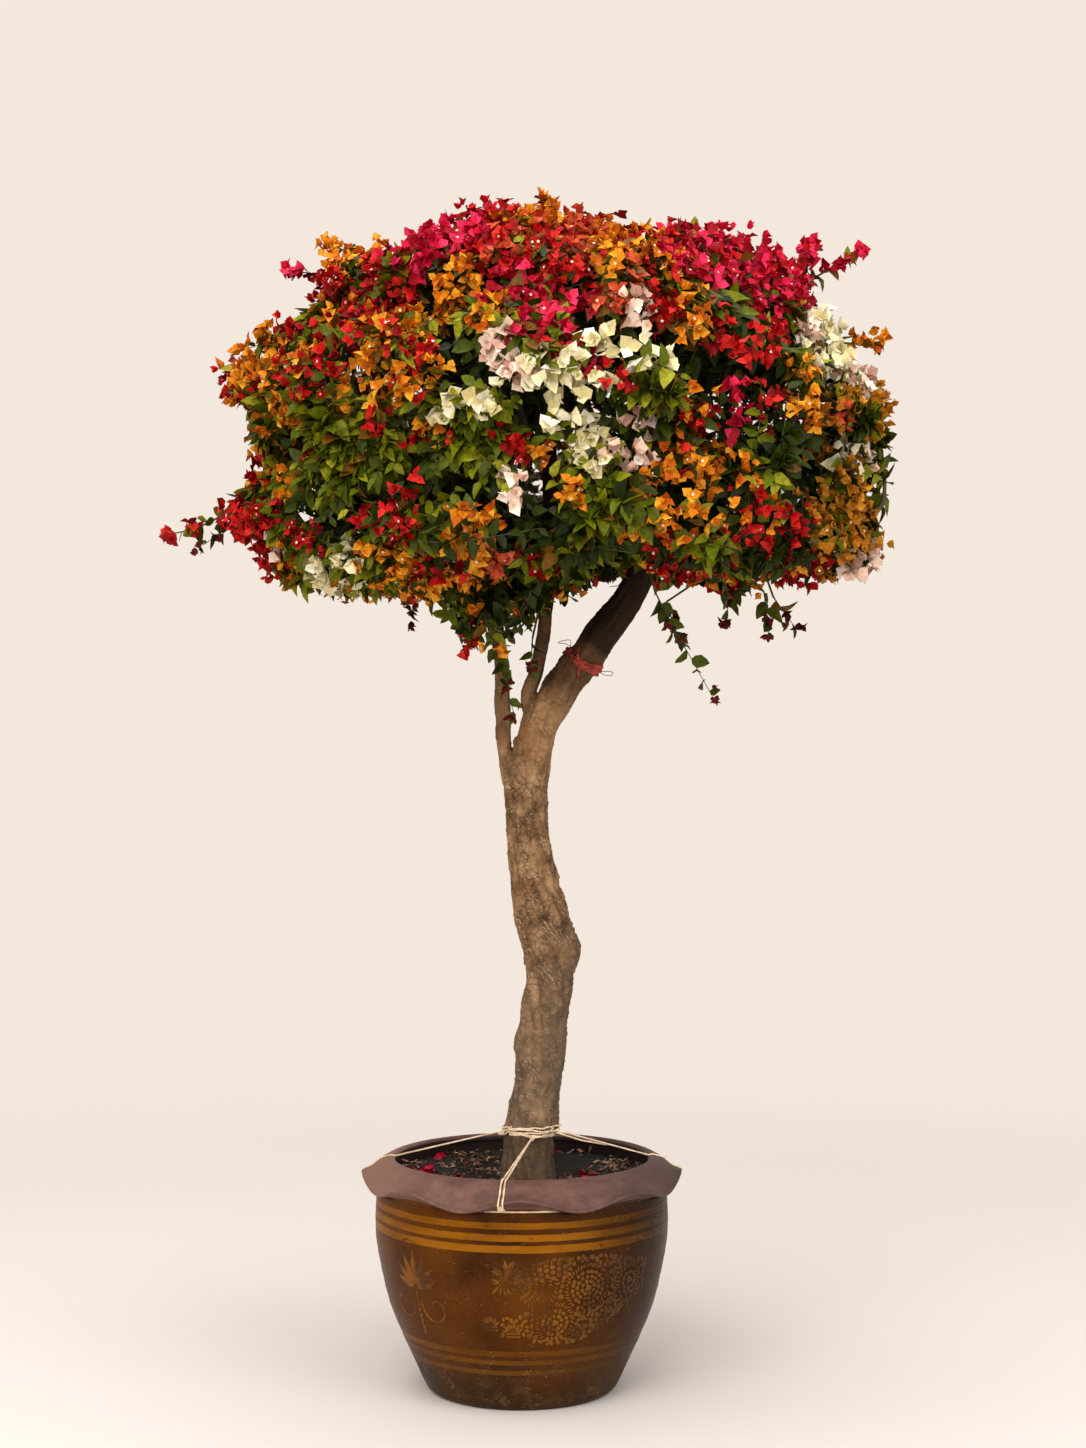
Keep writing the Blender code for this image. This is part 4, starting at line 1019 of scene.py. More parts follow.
def bark_finish():
    """Grey-brown bark: darker in its hollows, partly its own colour and partly painted shade, and at
    the foot; pale scars; painted shade down the right of the lower trunk and painted light from the
    fork up; darker up into the crown and near black on the right bough above the tape, partly its
    own dark bark and partly the crown's painted shadow."""
    bark = Finish("bougainvillea bark", (140, 108, 80), 0.85, 0.20)
    grain, x, z = bark.grain, bark.x, bark.z
    base = grain(0.040, 8.0, stretch=(1, 1, 1.3), Roughness=0.68)
    bark.colour = base.ramp((0.30, (52, 37, 24)), (0.46, (118, 89, 61)), (0.60, (157, 122, 87)),
                            (0.76, (190, 157, 122)))
    hollow = bark.value("Pointiness", "NewGeometry")
    stroke = bark.waves("DIAGONAL", 52.0, 7.0, 2.0, **{"Detail Scale": 1.4}).step(0.86, 0.97)
    pale = grain(0.011, 4.0, stretch=(1, 1, 0.4)).step(0.62, 0.72).most(
        stroke * grain(0.042, 2.0).step(0.52, 0.60))
    stir = bark.node("TexNoise", {"Vector": bark.spot, "Scale": 34.0, "Detail": 3.0})
    stir = bark.node("VectorMath", {0: stir.outputs["Color"], 1: (0.030, 0.030, 0.030)},
                     operation="MULTIPLY")
    stirred = bark.node("VectorMath", {0: bark.spot, 1: stir.outputs[0]}, operation="ADD")
    plates = bark.value("Distance", "TexVoronoi", {"Vector": stirred.outputs[0], "Scale": 58.0},
                        feature="DISTANCE_TO_EDGE")
    cracks = plates.step(0.13, 0.02) * grain(0.035, 2.0).step(0.42, 0.56)
    slant = z + x * 0.75
    # darker in the hollows: partly the bark's own colour, partly painted shade
    bark.coat(hollow.step(0.50, 0.42), (52, 38, 26))
    for share, weight, colour in (
            (pale, 0.52, (214, 186, 152)), (cracks, 0.60, (62, 45, 31)),
            (grain(0.007, 5.0, stretch=(1, 1, 0.5)).step(0.60, 0.72), 0.60, (70, 52, 36)),
            # painted shade down the right of the lower trunk
            (x.step(0.030, 0.085) * z.step(1.05, 0.98), 0.38, (66, 50, 36)),
            # grey on the lower trunk, then painted light from the fork up
            (z.step(1.12, 0.62), 0.38, (112, 100, 86)), (z.step(1.32, 1.40), 0.22, (196, 146, 100)),
            (grain(0.09, 2.0).step(0.55, 0.72), 0.35, (138, 84, 44)),
            (z.step(0.572, 0.545), 0.62, (52, 44, 34)),
            (x.step(0.012, -0.022) * z.step(1.38, 1.46), 0.50, (70, 46, 20)),
            # darker up into the crown, then near black: partly the boughs' own dark bark, partly the
            # crown's painted shadow
            (slant.step(1.49, 1.63), 0.78, (62, 39, 21)),
            (slant.step(1.722, 1.750), 0.93, (38, 22, 13))):
        bark.coat(share * weight, colour)
    relief = grain(0.007, 8.0, stretch=(1.5, 1.5, 1), Roughness=0.6) + pale * 0.4 - cracks * 0.6
    return bark.done(relief, 0.0016, 0.9)


def grow_limbs():
    """Trunk and boughs as one skin: plain hoses, melted together, then given their relief."""
    heap = Heap()
    for name, route in ROUTES.items():
        hose(heap, smooth_line(route, LIMB_PARTS), 20 if name in ("trunk", "bough_right") else 12)
    made = heap.piece("trunk_and_boughs", [bark_finish()],
                      [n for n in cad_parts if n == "trunk" or n.startswith("bough")])
    melt = made.modifiers.new("melt", "REMESH")
    melt.mode = "VOXEL"
    melt.voxel_size = BARK_CELL
    melt.use_smooth_shade = True
    soften = made.modifiers.new("soften", "SMOOTH")
    soften.iterations = 6
    soften.factor = 0.5
    graph = bpy.context.evaluated_depsgraph_get()
    skin = bpy.data.meshes.new_from_object(made.evaluated_get(graph))
    made.modifiers.clear()
    made.data = skin
    places = np.empty(len(skin.vertices) * 3)
    skin.vertices.foreach_get("co", places)
    places = places.reshape(-1, 3)
    normals = np.array([v.normal for v in skin.vertices])
    rise = np.array([bark_relief(int(n[0]), n[1], n[2], Vector(n[3:]), Vector(p))
                     for n, p in zip(LIMB_LINES.nearest(places), places)])
    skin.vertices.foreach_set("co", (places + normals * rise[:, None]).ravel())
    skin.update()
    return made


BARK = grow_limbs()


# ---------------------------------------------------------------- the string
# Cream two-ply twine: loose turns round the foot of the trunk with a knot in front, and three
# guys from there over the jar's lip to a ring that is tied under it.
WRAP_HEIGHTS = ((0.5530, 0.5585), (0.5570, 0.5640), (0.5610, 0.5660), (0.5655, 0.5745),
                (0.5600, 0.5690))
STRAND, PLY_OFFSET, TWINE_TWIST, TWINE_STEP = 0.0014, 0.00110, 0.0095, 0.0028
GUYS = ((181.0, 0.10), (1.0, 0.55))  # turn of each side guy, and where its loose end joins it
FRONT_GUY = 263.0
RING_RADIUS, RING_HEIGHT = 0.3178, 0.4462
WRAP_MIDDLE = Vector((0.021, 0.005, 0.561))


def skin_of(made):
    """The piece's surface, to rest other things on."""
    mesh = made.data
    return BVHTree.FromPolygons([v.co for v in mesh.vertices], [p.vertices for p in mesh.polygons])


def on_skin(skin, middle, way, lift, reach=0.30):
    """The point where a look inwards along a way meets the surface, and a little out from it."""
    found, normal, _, _ = skin.ray_cast(middle + way * reach, -way, reach)
    return (found + normal * lift) if found else middle + way * 0.05


def resampled(points, step):
    """The same line with corners at even steps."""
    rows = np.array([tuple(p) for p in points])
    gone = np.concatenate(([0], np.cumsum(np.linalg.norm(np.diff(rows, axis=0), axis=1))))
    marks = np.linspace(0, gone[-1], max(3, int(gone[-1] / step)))
    return [Vector(r) for r in zip(*(np.interp(marks, gone, axis) for axis in rows.T))]


def twine(heap, points):
    """Two twisted strands along a line."""
    line = resampled(points, TWINE_STEP)
    for ply in (0.0, math.pi):
        route = []
        for k, (here, along, side) in enumerate(carried(line)):
            turn = math.tau * k * TWINE_STEP / TWINE_TWIST + ply
            off = side * math.cos(turn) + along.cross(side) * math.sin(turn)
            route.append(Vector((*(here + off * PLY_OFFSET), STRAND)))
        hose(heap, route, 5)


def knot(heap, middle, size, lean):
    """A small overhand knot."""
    points = []
    for k in range(61):
        t = math.tau * k / 60
        flat = Vector((math.sin(t) + 2 * math.sin(2 * t), 1.3 * math.sin(3 * t),
                       math.cos(t) - 2 * math.cos(2 * t))) * size / 3
        points.append(middle + Matrix.Rotation(lean, 3, "Y") @ flat)
    twine(heap, points)


def up(height):
    return Vector((0, 0, height))


def over_lip(jar, turn, start):
    """A guy's line from its start over the jar's lip and down to the ring below it."""
    out = Vector((math.cos(turn), math.sin(turn), 0))
    points = [start]
    for k in range(9):
        radius = 0.279 + 0.066 * k / 8
        found = jar.ray_cast(out * radius + up(0.7), up(-1), 0.4)[0]
        points.append(found + up(0.0020) if found else points[-1])
    edge = points[-1]
    points.append(edge + out * 0.006 + up(-0.007))
    points.append(out * (edge.xy.length + 0.002) + up(edge.z - 0.016))
    points.append(out * (RING_RADIUS + 0.003) + up(RING_HEIGHT + 0.003))
    return points


def tie_string():
    heap = Heap()
    trunk, jar = skin_of(BARK), skin_of(JAR)
    for k, (low, high) in enumerate(WRAP_HEIGHTS):
        points = []
        for i in range(73):
            turn = math.tau * i / 72 + k * 1.1
            height = low + (high - low) * (0.5 - 0.5 * math.cos(turn + k * 1.3))
            middle = Vector((*WRAP_MIDDLE.xy, height))
            way = Vector((math.cos(turn), math.sin(turn), 0))
            points.append(on_skin(trunk, middle, way, 0.0022 + 0.0007 * k))
        twine(heap, points)
    front = on_skin(trunk, WRAP_MIDDLE + up(-0.010), Vector((0.02, -1, 0)), 0.005)
    for side in (-1, 1):
        arm = [front]
        for share in (0.35, 0.7, 1.0):
            way = Vector((math.sin(side * share * 1.05), -math.cos(share * 1.05), 0))
            middle = Vector((*WRAP_MIDDLE.xy, front.z + 0.020 * share))
            arm.append(on_skin(trunk, middle, way, 0.0048))
        twine(heap, arm)
    knot(heap, front, 0.0060, 0.3)
    for degrees, loop in GUYS:
        turn = math.radians(degrees)
        way = Vector((math.cos(turn), -0.35, 0)).normalized()
        start = on_skin(trunk, WRAP_MIDDLE + up(0.004), way, 0.004)
        twine(heap, over_lip(jar, turn, start))
        root, first = over_lip(jar, turn + 0.010, start + up(-0.005))[:2]
        twine(heap, [root, root.lerp(first, loop * 0.5) - up(0.004), root.lerp(first, loop),
                     start.lerp(first, loop), start])
    turn = math.radians(FRONT_GUY)
    first, second = over_lip(jar, turn - 0.010, front), over_lip(jar, turn + 0.016, front)
    twine(heap, first)
    twine(heap, second)
    knot(heap, (first[-2] + second[-2]) / 2, 0.0050, 1.1)
    ring = []
    for k in range(181):
        t = math.tau * k / 180
        tucked = 0.010 * min(1.0, max(0.0, 0.9 + math.sin(t)) * 6)
        ring.append(Vector((RING_RADIUS * math.cos(t), RING_RADIUS * math.sin(t),
                            RING_HEIGHT + tucked)))
    twine(heap, ring)
    cord = Finish("cream twine", (236, 212, 180), 0.85)
    cord.colour = cord.grain(0.02, 4.0).ramp((0.35, (206, 178, 142)), (0.60, (246, 226, 196)))
    heap.piece("twine", [cord.done(cord.grain(0.0012, 3.0), 0.0003, 0.6)],
               [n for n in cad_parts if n.startswith("string")])


tie_string()


# ---------------------------------------------------------------- the red tape
# A strip of soft red tape, folded and pulled twice round the right bough with its end hanging
# in front, and a thin wire twisted round with it that sticks out at both sides.
TAPE_SPOT, TAPE_RUN, TAPE_THICK = 5.80, 0.034, 0.0012
TAPE_ROWS, TAPE_COLUMNS, TAPE_LOOK = 9, 84, 0.054
WIRE, WIRE_ENDS = 0.0008, ((0.026, -0.012, -1), (0.024, 0.010, 1))  # reach, rise and side


def tie_tape():
    heap = Heap()
    skin = skin_of(BARK)
    k = int(TAPE_SPOT)
    below, above = ROUTES["bough_right"][k:k + 2]
    middle = below.xyz.lerp(above.xyz, TAPE_SPOT - k)
    along = (above.xyz - below.xyz).normalized()
    side = along.cross(Vector((0, -1, 0))).normalized()
    front = side.cross(along)
    points, faces = [], []
    for i in range(TAPE_COLUMNS + 1):
        turn = math.tau * i / TAPE_COLUMNS
        way = side * math.cos(turn) + front * math.sin(turn)
        drift = 0.010 * math.sin(turn + 2.6) + 0.004 * math.sin(3 * turn)
        broad = TAPE_RUN * (0.62 + 0.24 * math.sin(turn * 2 + 0.4) + 0.10 * math.sin(turn * 5))
        for j in range(TAPE_ROWS):
            share = j / (TAPE_ROWS - 1) - 0.5
            fold = 0.0022 * math.sin(share * 15 + 3 * math.sin(turn * 2))
            fold += 0.0016 * math.sin(turn * 13 + j)
            points.append(on_skin(skin, middle + along * (drift + share * broad), way,
                                  0.0042 + fold - 0.0036 * (2 * abs(share)) ** 6, TAPE_LOOK))
    for i in range(TAPE_COLUMNS):
        for a in range(i * TAPE_ROWS, (i + 1) * TAPE_ROWS - 1):
            faces.append((a, a + TAPE_ROWS, a + TAPE_ROWS + 1, a + 1))
    heap.add(points, faces)
    tail = []
    for i in range(13):
        share = i / 12
        spot = middle + along * (0.013 - 0.052 * share)
        way = (front * 0.95 - side * (0.62 - 0.95 * share)).normalized()
        lift = 0.0045 + 0.001 * math.sin(share * 9)
        tail.append(Vector((*on_skin(skin, spot, way, lift, TAPE_LOOK), 0.0030 - 0.0012 * share)))
    hose(heap, tail, 6)
    red = Finish("red tape", (146, 42, 26), 0.65)
    red.colour = red.grain(0.02, 4.0).ramp((0.35, (96, 22, 12)), (0.62, (164, 50, 28)))
    made = red.done(red.grain(0.004, 3.0, stretch=(1, 1, 4)), 0.0010, 0.8)
    band = heap.piece("tape", [made], ["tie"])
    thick = band.modifiers.new("thick", "SOLIDIFY")
    thick.thickness = TAPE_THICK
    thick.offset = -1
    heap = Heap()
    for reach, rise, way in WIRE_ENDS:
        out = side * way
        root = on_skin(skin, middle + along * 0.006, out, 0.004, TAPE_LOOK)
        loop = [root, *(root + out * reach * far + along * lift for far, lift in (
            (0.5, rise * 0.2), (1.0, rise), (0.9, rise + 0.008), (0.4, 0.010))), root]
        hose(heap, smooth_line([(*p, WIRE) for p in loop], 6), 5)
    heap.piece("tape_wire", [Finish("thin wire", (70, 62, 54), 0.4).done()])


tie_tape()


# ---------------------------------------------------------------- the crown's twigs
# Each bough ends in a stem at its mass of foliage. Twigs fork from it to the same tips as the
# plain solids have, and thin shoots fork from those, some leafy inside, most at the surface.
TIPS = 92
STEM, TWIG, SHOOT = (0.0085, 0.0060), (0.0060, 0.0028), (0.0023, 0.0009)  # radii from and to
SPRAY, TRAIL, TRAIL_LEAD = (0.0034, 0.0012), (0.0024, 0.0009), (0.0030, 0.0024)
OUTER_SHOOTS, INNER_SHOOTS, SKIRT_SHOOTS = 2300, 980, 64
SPRAYS = ((-0.790, -0.02, 1.866), (0.730, -0.03, 2.480), (-0.430, 0.02, 2.505),
          (-0.500, -0.02, 2.440), (0.625, -0.06, 2.490), (-0.110, -0.10, 1.620),
          (0.055, -0.02, 2.600), (0.785, -0.04, 2.285), (0.120, 0.66, 2.400),
          (-0.350, 0.60, 2.080), (0.560, 0.52, 1.960))
# where the long shoots that hang from the crown come out of it, and where they end
TRAILS = (((0.285, -0.16, 1.735), (0.405, -0.17, 1.515)),
          ((0.440, -0.12, 1.745), (0.442, -0.13, 1.685)),
          ((0.520, -0.10, 1.740), (0.532, -0.10, 1.640)),
          ((0.560, 0.10, 1.735), (0.610, 0.10, 1.665)),
          ((-0.062, -0.10, 1.640), (-0.014, -0.10, 1.470)),
          ((0.024, -0.08, 1.640), (0.020, -0.09, 1.570)),
          ((-0.630, -0.03, 1.890), (-0.695, -0.03, 1.842)),
          ((-0.240, 0.20, 1.750), (-0.250, 0.22, 1.690)),
          ((0.330, 0.26, 1.730), (0.360, 0.28, 1.640)))
# dents and bulges of the crown's outline: where round it, how deep and how wide in degrees
DENTS = ((130, 0.085, 13), (60, 0.065, 14), (92, -0.030, 6), (305, 0.070, 12), (240, 0.045, 12),
         (18, 0.030, 8), (352, 0.078, 6), (335, -0.055, 8), (316, 0.050, 8), (200, -0.060, 5),
         (212, -0.045, 10), (190, 0.010, 6), (171, -0.080, 8), (0, -0.035, 6), (30, -0.018, 7),
         (109, -0.060, 6), (160, 0.080, 6), (221, -0.025, 5), (101, 0.080, 6), (250, 0.090, 5),
         (300, 0.000, 5), (321, 0.080, 6), (78, -0.025, 8), (205, -0.020, 8))
UNDERSIDE = np.array((  # across, and how low the crown hangs there
    (-0.74, 1.90), (-0.62, 1.80), (-0.53, 1.735), (-0.38, 1.725), (-0.24, 1.728), (-0.17, 1.676),
    (-0.11, 1.600), (0.00, 1.605), (0.05, 1.690), (0.09, 1.705), (0.13, 1.740), (0.18, 1.790),
    (0.25, 1.785), (0.30, 1.680), (0.38, 1.680), (0.46, 1.700), (0.52, 1.655), (0.62, 1.690),
    (0.74, 1.710), (0.79, 1.79), (0.84, 1.88), (0.88, 2.00))).T
# open, shaded places in the front: across, height and reach
HOLLOWS = ((0.57, 2.02, 0.064), (0.43, 2.24, 0.045), (0.16, 1.84, 0.065), (-0.01, 1.87, 0.045),
           (0.37, 1.88, 0.040), (0.62, 2.12, 0.030))
SKIRT = ((-0.26, 0.11), (-0.26, 0.12))
DICE = random.Random(7)


def any_way():
    """A random direction, even on all sides."""
    while True:
        way = Vector(DICE.uniform(-1, 1) for _ in range(3))
        if 0.1 < way.length < 1:
            return way.normalized()


def spread_ways(count, stir):
    """Directions spread evenly on all sides, each stirred a little."""
    turn = math.pi * (3 - math.sqrt(5))
    for i in range(count):
        rise = 1 - 2 * (i + 0.5) / count
        level = math.sqrt(1 - rise * rise)
        way = Vector((level * math.cos(turn * i), level * math.sin(turn * i), rise))
        yield (way + any_way() * stir).normalized()


def bent_run(start, heading, end, radii, parts, sag=0.0):
    """A twig's line of (x, y, z, radius): it leaves along its heading and bends to its end."""
    run = end - start
    span = run.length
    pull = start + heading * (0.14 * span + 0.28 * max(0.0, heading.dot(run)))
    line = []
    for i in range(parts + 1):
        t = i / parts
        spot = start * (1 - t) ** 2 + pull * 2 * t * (1 - t) + end * t * t
        spot.z -= sag * span * t * (1 - t)
        line.append(Vector((*spot, radii[0] + (radii[1] - radii[0]) * t)))
    return line


class Wood:
    """The twigs of one mass, and where the next one can fork from them."""

    def __init__(self, name):
        door, heading = doorway(name)
        self.lines = [bent_run(door, heading, MIDDLES[name], STEM, 5)]
        self.forks = []
        self.note(self.lines[0], 0.35)

    def note(self, line, first):
        """Remembers the points of a line from this share of it on as places to fork from."""
        for k in range(len(line)):
            if first <= k / (len(line) - 1):
                ahead = line[min(k + 1, len(line) - 1)].xyz - line[max(k - 1, 0)].xyz
                self.forks.append((*line[k].xyz, *ahead.normalized()))

    def nearest(self, end, turn_cost):
        """The best place to fork from for a twig that ends here, and the heading there."""
        forks = np.array(self.forks)
        run = np.array(end) - forks[:, :3]
        span = np.linalg.norm(run, axis=1)
        bend = 1 - np.einsum("ij,ij->i", run, forks[:, 3:]) / np.maximum(span, 1e-6)
        best = int(np.argmin(span * (1 + turn_cost * bend)))
        return Vector(forks[best, :3]), Vector(forks[best, 3:])

    def grow(self, end, radii, parts, turn_cost, sag=0.0):
        self.lines.append(bent_run(*self.nearest(end, turn_cost), end, radii, parts, sag))
        return self.lines[-1]


def underside(x):
    """How low the crown hangs at this place across."""
    return float(np.interp(x, *UNDERSIDE))


def shown_at(point):
    """Where a point shows from the front: across and height."""
    nearer = EYE[1] / (EYE[1] - point.y)
    return EYE[0] + (point.x - EYE[0]) * nearer, EYE[2] + (point.z - EYE[2]) * nearer


def in_hollow(point):
    x, z = shown_at(point)
    return point.y < 0.1 and any(math.hypot(x - a, z - b) < reach for a, b, reach in HOLLOWS)


def crown_surface(way, share):
    """A point of the crown at this share of its reach, drawn in at its dents."""
    level = math.hypot(way.x, way.y)
    rise = math.degrees(math.atan2(way.z, level))
    lean = way.x / level if level > 1e-6 else 0.0
    dent = 0.0
    for facing, part in ((rise, (1 + lean) / 2), (180 - rise, (1 - lean) / 2)):
        for where, depth, wide in DENTS:
            off = (facing - where + 180) % 360 - 180
            dent += part * depth * math.exp(-(off / wide) ** 2)
    return CROWN_CENTRE + way * (crown_reach(way) * share - dent)


def grow_crown():
    """The twigs of every mass, and the list of shoots: (line, kind)."""
    woods = {name: Wood(name) for name in MASSES}
    shoots = []

    def wood_at(point):
        return woods[min(MIDDLES, key=lambda name: (MIDDLES[name] - point).length)]

    def shoot(end, kind, parts=4, turn_cost=0.5, sag=0.0):
        shoots.append((wood_at(end).grow(end, SHOOT, parts, turn_cost, sag), kind))

    tips = [crown_surface(way, DICE.uniform(0.97, 1.05)) for way in spread_ways(TIPS, 0.10)]
    for tip in tips:
        tip.z = max(tip.z, underside(tip.x) + 0.06)
    for tip in sorted(tips, key=lambda t: (t - CROWN_CENTRE).length):
        wood = wood_at(tip)
        out = (tip - CROWN_CENTRE).normalized()
        wood.note(wood.grow(tip - out * 0.05, TWIG, 7, 0.9), 0.25)
    for way in spread_ways(OUTER_SHOOTS, 0.035):
        billow = 0.030 * noise.noise(way * 4.2) + 0.022 * noise.noise(way * 9.0)
        end = crown_surface(way, 0.895 + billow + DICE.uniform(-0.05, 0.04))
        if in_hollow(end):
            shoot(crown_surface(way, 0.70), "inner")
        else:
            shoot(end, "outer", sag=0.25)
    for way in spread_ways(INNER_SHOOTS, 0.10):
        end = crown_surface(way, DICE.uniform(0.56, 0.84))
        if Vector(h / r for h, r in zip(end - HEART, HEART_RADII)).length > 1.04:
            shoot(end, "inner")
    for end in map(Vector, SPRAYS):
        wood = min(woods.values(), key=lambda w: (w.nearest(end, 0.7)[0] - end).length)
        shoots.append((wood.grow(end, SPRAY, 9, 0.7, 0.35), "spray"))
    for start, end in TRAILS:
        start, end = Vector(start), Vector(end)
        wood = wood_at(start)
        lead = wood.grow(start, TRAIL_LEAD, 4, 0.3)
        heading = (lead[-1].xyz - lead[-2].xyz).normalized()
        wood.lines.append(bent_run(start, heading * 0.3, end, TRAIL, 8))
        shoots.append((wood.lines[-1], "hanger"))
    for _ in range(SKIRT_SHOOTS):
        x = DICE.uniform(*SKIRT[0])
        shoot(Vector((x, DICE.uniform(*SKIRT[1]), underside(x) + DICE.uniform(0.01, 0.13))),
              "skirt", 5, 0.3)
    heap = Heap()
    for wood in woods.values():
        for line in wood.lines:
            hose(heap, line, 6 if line[0].w > 0.003 else 3)
    bark = Finish("twig bark", (86, 70, 40), 0.8)
    bark.colour = bark.grain(0.05, 3.0).ramp((0.40, (66, 50, 30)), (0.60, (84, 88, 38)))
    heap.piece("crown_twigs", [bark.done(bark.grain(0.004, 4.0), 0.0006, 0.6)])
    return shoots


SHOOTS = grow_crown()


# ---------------------------------------------------------------- the leaves
# Pointed oval leaves on short stalks, folded a little along the midrib, set in turn round each
# shoot and facing out to the light. Each shoot has its own green, and the darkest greens are
# painted shade: on the shoots inside the crown and on many at its lower right and underside.
LEAF_LENGTH, LEAF_WIDE = (0.034, 0.052), (0.48, 0.62)
LEAF_TONES = ((116, 122, 12), (94, 104, 10), (146, 146, 26), (68, 78, 6), (46, 58, 6), (29, 40, 4),
              (112, 74, 12))
DEEP, DARK, YOUNG = 3, 4, 6  # the places of these among the tones
SUNLIT = (0.28, 0.34, 0.12, 0.26)  # the shares of the first four tones among sunlit shoots
SKIRT_MIX = ((1, DEEP, DARK), (0.25, 0.50, 0.25))
SHADED, NEXT_TONE = 0.70, 0.28  # the shares of dark shoots in full shade, and of odd leaves
YOUNG_FROM, YOUNG_SHARE = 2.2, (0.05, 0.45)
LEAF_BEND, LEAF_FOLD, LEAF_TWIST = (-0.42, 0.06), (0.15, 0.65), 0.35
LEAF_POINTS = ((0, 0), (0.45, 0), (1, 0), (0.11, 0.32), (0.38, 0.50), (0.74, 0.29),
               (0.11, -0.32), (0.38, -0.50), (0.74, -0.29))
LEAF_FACES = ((0, 1, 4, 3), (1, 2, 5, 4), (0, 6, 7, 1), (1, 7, 8, 2))
LEAFY = {  # how much of a shoot bears leaves (or a share of it), their spacing and their size
    "outer": (0.150, 0.0083, 1.0), "inner": (0.170, 0.0105, 1.05), "skirt": (0.12, 0.009, 1.0),
    "spray": (None, 0.016, 0.80), "hanger": (None, 0.015, 0.95)}
LONG_SHARE, UNDER_BLOOM = 0.80, 0.86
UPPER_FROM = 2.06
BOX_SLACK, WOOD_GAP = 0.012, 0.012
GOLDEN, ANY_TURN = 2.4, 6.28  # from each leaf to the next, in radians, and where the first starts


def roomy(corners, low_too=False):
    """Which copies stay in the plant's box, above the crown's underside and clear of its limbs."""
    low, high = (np.array(side) for side in cad_box)
    inside = ((corners > low - BOX_SLACK) & (corners < high + BOX_SLACK)).all(axis=(1, 2))
    middles = corners.mean(axis=1)
    floor = np.interp(middles[:, 0], *UNDERSIDE)
    above = (middles[:, 2] > floor + CHANCE.normal(0.01, 0.012, len(middles))) | low_too
    near = LIMB_LINES.nearest(middles)
    gap = np.linalg.norm(near[:, 3:], axis=1) - near[:, 2]
    return inside & above & (gap > WOOD_GAP)


def walked(ends, share):
    """The places at these shares of a line, and the run of the line at each."""
    place = share * (len(ends) - 1)
    k = np.minimum(place.astype(int), len(ends) - 2)
    run = ends[k + 1] - ends[k]
    return ends[k] + run * (place - k)[:, None], run


def fanned(side, other, turn):
    return side * np.cos(turn)[:, None] + other * np.sin(turn)[:, None]


def sow_leaves():
    """Every leaf's spot, ways and shade, shoot by shoot."""
    rows = []
    for (line, kind), bloom in zip(SHOOTS, BLOOM):
        ends = np.array([p.xyz for p in line])
        run = np.linalg.norm(np.diff(ends, axis=0), axis=1).sum()
        leafy, step, small = LEAFY[kind]
        leafy = leafy or run * LONG_SHARE
        first = max(0.0, 1 - leafy / max(run, 1e-6))
        count = max(3, int(min(leafy, run) / step))
        if kind == "outer" and bloom:
            count = int(count * UNDER_BLOOM)
        share = first + (1 - first) * (np.arange(count) + 0.6) / count
        here, ahead = walked(ends, share)
        ahead = unit(ahead)
        out = unit(here - np.array(CROWN_CENTRE))
        turn = np.arange(count) * GOLDEN + CHANCE.uniform(0, ANY_TURN)
        side = unit(np.cross(ahead, out + (0.01, 0.02, 0.3)))
        radial = fanned(side, np.cross(ahead, side), turn)
        along = ahead * 0.45 + radial * 0.9 + out * 0.25 + CHANCE.normal(0, 0.22, (count, 3))
        along[:, 2] -= 0.28
        face = out * 0.85 + (0, 0, 0.55) + CHANCE.normal(0, 0.38, (count, 3))
        size = CHANCE.uniform(*LEAF_LENGTH, count) * small * (1.06 - 0.35 * share ** 4)
        x, _, z = ends[-1]
        # painted shade: the shoots inside the crown, and many at its lower right and underside, take the
        # darkest green
        right = min(1.0, (x - 0.10) * 2.6, (0.76 - x) * 6) * min(1.0, max(0.0, 2.34 - z) * 5)
        under = min(1.0, (x + 0.25) * 5) * min(1.0, max(0.0, 1.95 - z) * 6)
        sunny = x < -0.22 and z > 1.92
        dark = (kind == "inner" and not sunny
                or kind != "skirt" and CHANCE.random() < SHADED * max(right, under))
        base = DARK if dark else int(CHANCE.choice(4, p=SUNLIT))
        if kind == "hanger":
            base = DEEP
        elif kind == "skirt":
            base = int(CHANCE.choice(SKIRT_MIX[0], p=SKIRT_MIX[1]))
        shade = base + (CHANCE.random(count) < NEXT_TONE)
        young = YOUNG_SHARE[1 if bloom and z > YOUNG_FROM else 0]
        shade[CHANCE.random(count) < young] = YOUNG
        rows.append((here, along, face, size, shade, here[:, 2] > UPPER_FROM,
                     np.full(count, kind in ("spray", "hanger"))))
    spots, alongs, faces, longs, shades, top, trails = map(np.concatenate, zip(*rows))
    count = len(longs)
    wide = longs * CHANCE.uniform(*LEAF_WIDE, count) * (1 + 0.25 * trails)
    corners = placed(LEAF_POINTS, spots, frames(alongs, faces), np.stack((longs, wide), axis=1),
                     CHANCE.uniform(*LEAF_BEND, count), CHANCE.uniform(*LEAF_FOLD, count),
                     CHANCE.normal(0, LEAF_TWIST, count))
    return corners, shades, top, trails


def lay_leaves():
    corners, shades, top, trails = sow_leaves()
    keep = roomy(corners, trails)
    corners, shades, top = corners[keep], shades[keep], top[keep]
    finishes = tissues("leaf tint", LEAF_TONES, 0.46, 0.006)
    high = [n for n in MASSES
            if n.startswith("foliage_upper") or n in ("foliage_front", "foliage_top")]
    low = [n for n in MASSES if n not in high]
    for name, part, masses in (("leaves_upper", top, high), ("leaves_lower", ~top, low)):
        joined(name, corners[part], LEAF_FACES, shades[part], finishes, masses)


